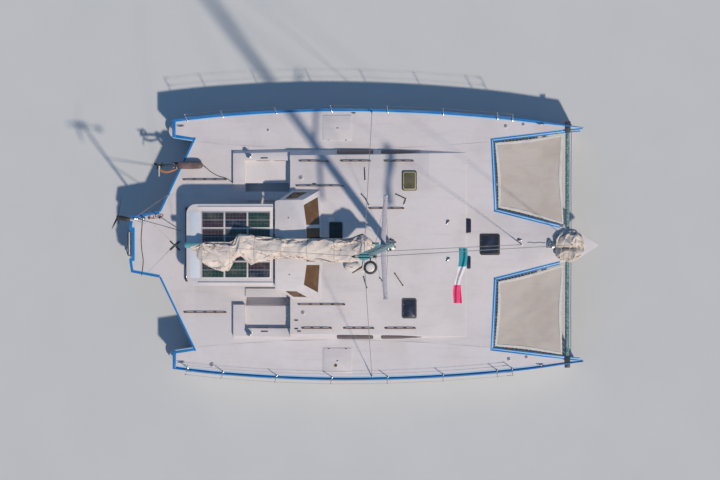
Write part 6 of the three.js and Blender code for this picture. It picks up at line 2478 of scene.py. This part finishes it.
        sling.rod((-7.64, y - 0.4, z + 0.055), (-7.64, y - 0.03, z + 0.055), 0.018, sides=14, slot=1)
        sling.tube([(-7.62, y - 0.15, z + 0.05), (-7.62, y - 0.02, z + 0.05)], 0.012, slot=1)
        sling.tube([(-7.0, y - 0.14, z + 0.02), (-7.02, y - 0.04, z + 0.04)], 0.01, slot=1)
        sling.finish("outboard_sling", "cloth", "orange", "white_plastic", body="outboard")
        screw = Form()
        screw.turned([(0, 0.1703), (0.034, 0.1703), (0.033, 0.235), (0.022, 0.258), (0, 0.262)],
                     (shaft, y, z), steps=28)
        screw.screw((shaft, y, z + 0.215), (0, 0, 1), (0, -1, 0), (0.025, 0.148), 0.1)
        screw.finish("outboard_blades", "dark", "black", body="outboard_screw",
                     replaces=["outboard_propeller"])

    def _crutch(self) -> None:
        """Lay the folded boom crutch on the deck with its two guys."""
        x, y = self.cross
        form = Form()
        for side, low in ((-1, SEAT), (1, 0.018)):
            turn = Matrix.Translation((x, y, DECK)) @ Matrix.Rotation(side * 0.75, 4, "Z")
            form.block((-0.24, -0.026, low), (0.24, 0.026, low + 0.022), bevel=0.005, turn=turn)
            for end in (-0.21, 0.21):
                form.block((end - 0.03, -0.029, low + 0.001), (end + 0.03, 0.029, low + 0.025), slot=1,
                           bevel=0.006, turn=turn)
        form.turned([(0, 0), (0.02, 0), (0.019, 0.008), (0.008, 0.012), (0, 0.012)], (x, y, DECK + 0.04),
                    steps=16, slot=2)
        form.finish("boom_crutch_arms", "dark", "black", "rubber", "steel",
                    replaces=["boom_crutch"])
        lines = Form()
        for foot in ((-8.15, -1.09), (-7.83, 0.66)):
            path = [(x - 0.02, y, DECK + 0.02), ((x + foot[0]) / 2, (y + foot[1]) / 2 + 0.02, DECK + 0.007),
                    (*foot, DECK + 0.007)]
            lines.tube(curved(path, 8), 0.006, sides=6)
            lines.hoop((*foot, DECK + 0.006), 0.02, 0.005)
        lines.finish("boom_crutch_lines", "cloth", "rope")

    def _traveller(self) -> None:
        """Dress the traveller beam with its track, car, end stops and control lines."""
        x = self.track
        form = Form.of("traveller_beam")
        form.round_edges(0.012, segments=3)
        form.block((x - 0.022, -1.29, 1.747), (x + 0.022, 1.29, 1.772), slot=1, bevel=0.004)
        for side in (-1, 1):
            low, high = sorted((side * 1.2, side * 1.31))
            form.block((x - 0.04, low, 1.75), (x + 0.04, high, 1.8), slot=1, bevel=0.01)
            form.turned([(0, -0.012), (0.03, -0.012), (0.026, 0), (0.03, 0.012), (0, 0.012)],
                        (x, side * 1.17, 1.79), (1, 0, 0), 20, slot=2)
            form.tube(sagging((x, side * 1.16, 1.79), (x, side * 0.1, 1.8), 0.006), 0.006, slot=3)
        form.block((x - 0.05, -0.1, 1.768), (x + 0.05, 0.1, 1.81), slot=1, bevel=0.012)
        for y in (-0.035, 0.035):
            form.turned([(0, -0.012), (0.036, -0.012), (0.03, 0), (0.036, 0.012), (0, 0.012)],
                        (x, y, 1.85), (0, 1, 0), 22, slot=2)
        form.block((x - 0.02, -0.055, 1.8), (x + 0.02, 0.055, 1.86), slot=1, bevel=0.008)
        # The beam's slate finish is painted shade, the colour it shows in the hard top's shadow
        form.finish("traveller_track", "alloy", "slate", "black", "steel", "rope",
                    replaces=["traveller_beam"])

    def _loose_gear(self) -> None:
        """Lay out the coiled lines and small gear kept on the aft deck."""
        form = Form()
        line = [(-8.27, 0.88), (-8.32, 0.24), (-8.3, -0.2), (-8.25, -0.62), (-8.31, -1.12)]
        form.tube(curved([(x, y, DECK + 0.013) for x, y in line], 8), 0.013, slot=1)
        lead = [(-6.05, 2.8, 1.68), (-5.95, 2.72, 1.62), (-5.78, 2.58, 1.612), (-5.52, 2.44, 1.612),
                (-5.3, 2.38, 1.612),
                (-5.17, 2.32, 1.612), (-4.99, 2.18, 1.615)]
        form.tube(curved(lead, 6), 0.012, slot=1)
        for k, (x, y, radius, slot) in enumerate((
            (-7.93, 1.0, 0.085, 0), (-7.93, 1.0, 0.07, 2), (-7.74, 1.02, 0.075, 1), (-7.74, 1.02, 0.06, 0),
            (-7.6, 1.04, 0.05, 2),
        )):
            form.hoop((x + 0.004 * k, y, DECK + 0.012 + 0.016 * (k % 2)), radius, 0.011,
                      (0.06, 0.1 * (k - 2), 1), slot)
        form.block((-8.06, 0.9, DECK + 0.001), (-8.0, 0.98, DECK + 0.06), slot=3, bevel=0.01)
        form.block((-7.69, 0.92, DECK + 0.001), (-7.62, 0.98, DECK + 0.05), slot=4, bevel=0.012)
        form.block((-7.86, 0.88, DECK + 0.001), (-7.8, 0.92, DECK + 0.045), slot=5, bevel=0.008)
        form.finish("aft_deck_gear", "cloth", "rope", "dark_rope", "red_rope",
                    "black", "navy_cloth", "white_plastic")

    def build(self) -> None:
        """Build everything abaft the hard top."""
        self._bands()
        self._wind_pole()
        self._wind_head()
        self._ladder()
        self._bracket()
        self._motor()
        self._crutch()
        self._traveller()
        self._loose_gear()


@dataclass(frozen=True)
class Lid:
    """An opening hatch or locker lid.

    Attributes:
        node: The solid that it stands for.
        body: The body that it moves with.
        low: Its aft starboard corner.
        high: Its fore port corner.
        thick: Its thickness.
        frame: The finish of its frame.
        border: The finish inside its frame.
        pane: The finish of its pane.
        slot: The record's material slot.
    """

    node: str
    body: str
    low: tuple[float, float]
    high: tuple[float, float]
    thick: float
    frame: str
    border: str
    pane: str
    slot: str = "glass"

    def outline(self, inset: float, corner: float) -> list[tuple[float, float]]:
        """Lay the lid's rounded outline.

        Args:
            inset: How far inside its edge it lies.
            corner: The radius of its corners.

        Returns:
            The outline's places in order.
        """
        x0, y0 = self.low[0] + inset, self.low[1] + inset
        x1, y1 = self.high[0] - inset, self.high[1] - inset
        points = []
        for k, (x, y) in enumerate(((x1, y1), (x0, y1), (x0, y0), (x1, y0))):
            cx, cy = (x - corner if x == x1 else x + corner), (y - corner if y == y1 else y + corner)
            for i in range(7):
                turn = (k + i / 6) * math.pi / 2
                points.append((cx + corner * math.cos(turn), cy + corner * math.sin(turn)))
        return points


@dataclass
class Fittings:
    """Hatches, lids, winches, steering wheel, vents and the small gear of deck and roof.

    Attributes:
        lids: The opening hatches and locker lids.
        winch: Place, distance from the centreline and foot of the sheet winches.
        wheel: Place of the steering wheel's middle, its radius and its rim.
        vents: Place and radius of the round vents.
        tracks: Corners of the short tracks and steps on the roof.
    """

    lids: tuple[Lid, ...] = (
        Lid("hatch_foredeck", "foredeck_lid", (3.81, -0.37), (4.51, 0.37), 0.045, "black", "black",
            "slate_glass"),
        Lid("hatch_port", "roof_lid_left", (1.05, 1.915), (1.566, 2.616), 0.045, "bronzed", "beige",
            "olive_glass"),
        Lid("hatch_starboard", "roof_lid_right", (1.05, -2.616), (1.566, -1.915), 0.045, "rubber", "black",
            "slate_glass"),
        Lid("locker_lid_port", "locker_left", (-1.78, 3.7), (-0.75, 4.6), 0.026, "gelcoat", "deck", "deck",
            "white"),
        Lid("locker_lid_starboard", "locker_right", (-1.78, -4.6), (-0.75, -3.7), 0.026, "gelcoat", "deck",
            "deck",
            "white"),
    )
    winch: tuple[float, float, float] = (-4.41, 3.165, 1.795)
    wheel: tuple[float, float, float, float, float] = (-3.7, 0.79, 1.7, 0.33, 0.016)
    vents: tuple[tuple[float, float, float], ...] = (
        (-2.53, 2.36, 0.09), (-2.46, -2.42, 0.08), (-2.92, 0.96, 0.08), (-2.89, -1.04, 0.075),
        (-5.77, -4.32, 0.09),
        (-3.74, 4.07, 0.05), (4.72, 4.19, 0.07), (5.34, 4.25, 0.06), (4.84, -4.07, 0.07), (5.46, -4.0, 0.06),
    )
    tracks: tuple[tuple[tuple[float, float], ...], ...] = (
        ((-0.28, 2.71), (-0.26, 2.3)), ((-0.39, 1.79), (-0.24, 1.62), (-0.13, 1.41)),
        ((0.83, 1.79), (1.18, 1.62), (1.11, 1.44)), ((-0.31, -1.14), (-0.2, -1.53)),
        ((0.26, -1.18), (0.37, -1.3)),
        ((0.79, -1.02), (1.08, -1.45)),
    )

    def _lid(self, lid: Lid, ground: Ground) -> None:
        """Build one lid with its frame, border, pane, hinges and handles on its sloping base."""
        (x0, y0), (x1, y1) = lid.low, lid.high
        cx, cy = (x0 + x1) / 2, (y0 + y1) / 2
        plain = lid.thick < 0.03
        heights = [ground.height(x, cy) for x in (x0, x1)] + [ground.height(cx, y) for y in (y0, y1)]
        slope = ((heights[1] - heights[0]) / (x1 - x0), (heights[3] - heights[2]) / (y1 - y0))
        base = ground.height(cx, cy)
        form = Form()
        corner = 0.03 if plain else 0.06
        layers = ((0.0, 0.0006, lid.thick, 0), (0.03, lid.thick - 0.004, 0.008 if not plain else 0.006, 1))
        for inset, low, high, slot in layers:
            outline = [(x, y, low) for x, y in lid.outline(inset, corner)]
            form.plate(outline, (0, 0, high), slot=slot, bevel=0.004 if slot == 0 else 0.002)
        if not plain:
            outline = [(x, y, lid.thick + 0.002) for x, y in lid.outline(0.065, 0.035)]
            form.plate(outline, (0, 0, 0.006), slot=2, bevel=0.002)
            for share in (0.28, 0.72):
                y = y0 + (y1 - y0) * share
                form.rod((x1 - 0.008, y - 0.03, lid.thick), (x1 - 0.008, y + 0.03, lid.thick), 0.009, slot=3)
                form.turned([(0, 0), (0.018, 0), (0.015, 0.008), (0, 0.01)],
                            (x0 + 0.05, y, lid.thick + 0.004), steps=16,
                            slot=3)
        else:
            for share in (0.2, 0.8):
                x = x0 + (x1 - x0) * share
                near, far = (y0 + 0.003, y0 + 0.03) if y0 > 0 else (y1 - 0.03, y1 - 0.003)
                form.block((x - 0.04, near, lid.thick - 0.003), (x + 0.04, far, lid.thick + 0.005), slot=3,
                           bevel=0.002)
            form.block((cx - 0.035, cy - 0.02, lid.thick), (cx + 0.035, cy + 0.02, lid.thick + 0.006),
                       slot=3, bevel=0.002)
        for vert in form.bm.verts:
            vert.co.z += base + slope[0] * (vert.co.x - cx) + slope[1] * (vert.co.y - cy)
        form.finish(f"{lid.node}_cover", lid.slot, lid.frame, lid.border, lid.pane,
                    "steel", body=lid.body, replaces=[lid.node])

    def _winches(self) -> None:
        """Build the sheet winches on their pads with ribbed drums and line stripper rings."""
        x, reach, z = self.winch
        for name, side in SIDES:
            y = side * reach
            form = Form()
            form.block((x - 0.09, y - 0.09, z - 0.0147), (x + 0.09, y + 0.09, z + 0.005), slot=1,
                       bevel=0.005)
            form.turned([(0, 0.003), (0.095, 0.003), (0.095, 0.02), (0.088, 0.036), (0.07, 0.045),
                         (0.061, 0.075),
                         (0.061, 0.13), (0.07, 0.146), (0.078, 0.15), (0.078, 0.158), (0.05, 0.16),
                         (0.05, 0.17),
                         (0.078, 0.172), (0.078, 0.178), (0.03, 0.181), (0.03, 0.17), (0, 0.17)], (x, y, z),
                         steps=40)
            for k in range(18):
                turn = k / 18 * math.tau
                spot = Vector((x + 0.062 * math.cos(turn), y + 0.062 * math.sin(turn), z))
                form.rod(spot + Vector((0, 0, 0.06)), spot + Vector((0, 0, 0.135)), 0.003, sides=6)
            form.turned([(0, 0.168), (0.016, 0.168), (0.016, 0.176), (0, 0.176)], (x, y, z), steps=8, slot=2)
            form.tube(curved([(x + 0.07, y, z + 0.155), (x + 0.12, y + 0.02, z + 0.17),
                              (x + 0.14, y + 0.06, z + 0.15)], 4),
                      0.006, sides=8)
            for turns in range(3):
                form.hoop((x, y, z + 0.08 + 0.015 * turns), 0.068, 0.007, slot=3)
            form.finish(f"winch_{name}_drum", "steel", "steel", "gelcoat", "black",
                        "dark_rope", replaces=[f"winch_{name}"])

    def _steering(self) -> None:
        """Build the steering wheel, and the instruments and handles of its console."""
        x, y, z, radius, rim = self.wheel
        form = Form()
        form.hoop((x, y, z), radius, rim, (1, 0, 0), slot=1)
        form.turned([(0, -0.05), (0.03, -0.045), (0.04, -0.02), (0.04, 0.02), (0.028, 0.055), (0, 0.0595)],
                    (x, y, z),
                    (1, 0, 0), 24)
        for spoke in range(5):
            turn = spoke / 5 * math.tau
            way = Vector((0, math.sin(turn), math.cos(turn)))
            form.rod(Vector((x - 0.01, y, z)) + way * 0.03, Vector((x, y, z)) + way * radius, 0.011, 0.008)
        for k in range(24):
            turn = k / 24 * math.tau
            spot = Vector((x, y + radius * math.sin(turn), z + radius * math.cos(turn)))
            form.hoop(spot, rim + 0.001, 0.0018, Vector((0, math.cos(turn), -math.sin(turn))), slot=2)
        form.finish("steering_wheel_rim", "steel", "steel", "brown_cloth", "black",
                    body="wheel", replaces=["steering_wheel"])
        panel = Form()
        for k in range(3):
            middle = (-3.6425, y - 0.1 + 0.1 * k, 1.66)
            panel.turned([(0, 0), (0.038, 0), (0.036, 0.008), (0.03, 0.008), (0.03, 0.005), (0, 0.005)],
                         middle, (-1, 0, 0), 24)
        panel.block((-3.58, y - 0.12, 1.759), (-3.46, y + 0.12, 1.785), bevel=0.012)
        panel.turned([(0, 0), (0.05, 0), (0.045, 0.03), (0.03, 0.05), (0, 0.058)], (-3.52, y, 1.782),
                     steps=24, slot=1)
        for side in (-1, 1):
            panel.rod((-3.5, y + side * 0.13, 1.76), (-3.56, y + side * 0.13, 1.86), 0.008, slot=2)
            panel.ball((-3.56, y + side * 0.13, 1.865), 0.018, steps=12)
        panel.finish("console_instruments", "dark", "black", "slate_glass", "steel")

    def _vents(self, ground: Ground) -> None:
        """Set the round mushroom vents and the locker's drain vent."""
        form = Form()
        for x, y, radius in self.vents:
            z = ground.height(x, y)
            form.turned([(0, -0.002), (radius, -0.002), (radius, 0.006), (radius * 0.8, 0.012),
                         (radius * 0.5, 0.014),
                         (radius * 0.5, 0.026), (0, 0.026)], (x, y, z), steps=28)
            form.turned([(0, 0.024), (radius * 0.82, 0.024), (radius * 0.86, 0.03), (radius * 0.7, 0.042),
                         (radius * 0.3, 0.05), (0, 0.051)], (x, y, z), steps=28, slot=1)
            form.turned([(0, 0.046), (radius * 0.36, 0.046), (radius * 0.3, 0.056), (0, 0.058)], (x, y, z),
                        steps=20, slot=4)
        form.turned([(0, 0), (0.125, 0), (0.125, 0.008), (0.06, 0.014), (0.06, 0.004), (0, 0.004)],
                    (-1.33, -4.31, DECK + 0.0255), steps=32, slot=2)
        form.turned([(0, 0), (0.058, 0), (0.05, 0.012), (0, 0.014)], (-1.33, -4.31, DECK + 0.0285), steps=24,
                    slot=3)
        form.finish("deck_vents", "white", "white_plastic", "lavender", "pale_cloth",
                    "brown_cloth", "rubber")

    def _prisms(self, ground: Ground) -> None:
        """Set the small fixed lights of the foredeck and the skylight ahead of the pilothouse."""
        panes = (
            ("prism_port", (3.27, 0.41), (3.51, 0.93), 0.018, "slate_glass"),
            ("prism_starboard", (3.34, -0.86), (3.48, -0.4), 0.018, "slate_glass"),
            ("skylight", (-1.53, 0.05), (-1.06, 0.8), 0.03, "green_glass"),
        )
        for name, low, high, thick, finish in panes:
            shape = Lid(name, "boat", low, high, thick, "rubber", "rubber", finish)
            middle = ((low[0] + high[0]) / 2, (low[1] + high[1]) / 2)
            base = ground.height(*middle)
            aft, fore = (ground.height(x, middle[1]) for x in (low[0], high[0]))
            slope = (fore - aft) / (high[0] - low[0])
            form = Form()
            form.plate([(x, y, -0.004) for x, y in shape.outline(0.0, 0.05)], (0, 0, thick), slot=1,
                       bevel=0.004)
            form.plate([(x, y, thick - 0.006) for x, y in shape.outline(0.018, 0.04)], (0, 0, 0.006),
                       bevel=0.002)
            for vert in form.bm.verts:
                vert.co.z += base + slope * (vert.co.x - middle[0])
            form.finish(f"{name}_pane", "glass", finish, "rubber")
        box = Form()
        z = ground.height(-1.45, 0.9)
        box.block((-1.57, 0.81, z - 0.004), (-1.33, 0.97, z + 0.11), bevel=0.018)
        box.block((-1.56, 0.86, z + 0.02), (-1.585, 0.93, z + 0.08), slot=1, bevel=0.006)
        box.block((-1.52, 0.84, z + 0.105), (-1.38, 0.94, z + 0.118), bevel=0.01)
        box.finish("roof_box", "white", "white_plastic", "black")

    def _roof_gear(self, ground: Ground) -> None:
        """Screw down the short tracks, pad eyes and small cleats."""
        form = Form()
        for corners in self.tracks:
            path = [(x, y, ground.height(x, y) + 0.03) for x, y in corners]
            for a, b in zip(path, path[1:]):
                form.rod(a, b, 0.017, sides=10)
            for x, y, z in path:
                form.turned([(0, 0), (0.03, 0), (0.03, 0.006), (0.018, 0.012), (0.018, 0.036), (0, 0.04)],
                            (x, y, z - 0.031), steps=16, slot=1)
        for x, y, turn in ((2.66, 0.8, 0.9), (2.67, -0.52, 0.8), (5.2, 0.17, 0.0)):
            z = ground.height(x, y)
            place = Matrix.Translation((x, y, z)) @ Matrix.Rotation(turn, 4, "Z")
            form.block((-0.09, -0.03, -0.002), (0.09, 0.03, 0.01), slot=1, bevel=0.008, turn=place)
            form.block((-0.05, -0.02, 0.008), (0.06, 0.022, 0.075), bevel=0.018, turn=place)
            form.hoop(place @ Vector((0.02, 0, 0.085)), 0.022, 0.006, (0.3, 1, 0), slot=1)
        for x, y in ((-2.7, -2.69), (-2.7, -2.99), (-0.68, 4.68), (-2.06, 2.15), (-2.6, -3.08)):
            z = ground.height(x, y)
            form.block((x - 0.045, y - 0.016, z - 0.003), (x + 0.045, y + 0.016, z + 0.012), bevel=0.004)
            form.tube([(x - 0.07, y, z + 0.04), (x, y, z + 0.034), (x + 0.07, y, z + 0.04)], 0.011, sides=8)
            form.rod((x, y, z + 0.008), (x, y, z + 0.035), 0.012)
        form.finish("roof_gear", "dark", "black", "steel")
        bag = Form()
        z = ground.height(-0.7, -0.78)

        def skin(u: float, v: float) -> Vector:
            """Point on the rounded bag, slumped on the roof."""
            along, turn = u * math.pi, v * math.tau
            fold = 1 + 0.05 * noise.noise(Vector((u * 6, math.cos(turn) * 2, math.sin(turn) * 2)))
            reach = math.sin(along) ** 0.6 * fold
            rise = 0.1 + 0.1 * reach * math.sin(turn) * (1.25 if math.sin(turn) > 0 else 0.95)
            y = -0.78 + 0.17 * reach * math.cos(turn)
            return Vector((-0.71 - 0.27 * math.cos(along), y, z + max(0.002, rise)))

        bag.skin(40, 36, skin, closed=True)
        bag.tube([(-0.95, -0.74, z + 0.19), (-0.72, -0.8, z + 0.235), (-0.5, -0.74, z + 0.18)], 0.007,
                 sides=6, slot=1)
        bag.finish("mast_foot_bag", "cloth", "pale_cloth", "dark_rope")

    def build(self, ground: Ground) -> None:
        """Build the fittings of deck, roof and cockpit.

        Args:
            ground: The solids that fittings stand on.
        """
        for lid in self.lids:
            self._lid(lid, ground)
        self._winches()
        self._steering()
        self._vents(ground)
        self._prisms(ground)
        self._roof_gear(ground)


def main() -> None:
    """Build the boat's looks piece by piece and report each of them."""
    logging.basicConfig(level=logging.INFO, format="%(name)s: %(message)s")
    FRAME.update(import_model())
    studio = Studio()
    studio.set_camera()
    effects = Effects()
    PAINTS.update({key: finish.build(effects) for key, finish in {**FINISHES, **SPECIAL_FINISHES}.items()})
    studio.light_and_floor()
    ground = Ground(("hull_port", "hull_starboard", *DECK_PANELS, "coachroof", "pilothouse_roof", "hardtop"))
    Hulls().build()
    Deckhouse().build(ground)
    Foredeck().build()
    Rails().build()
    Rig().build(ground)
    Stern().build()
    Fittings().build(ground)
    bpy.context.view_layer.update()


if __name__ == "__main__":
    main()
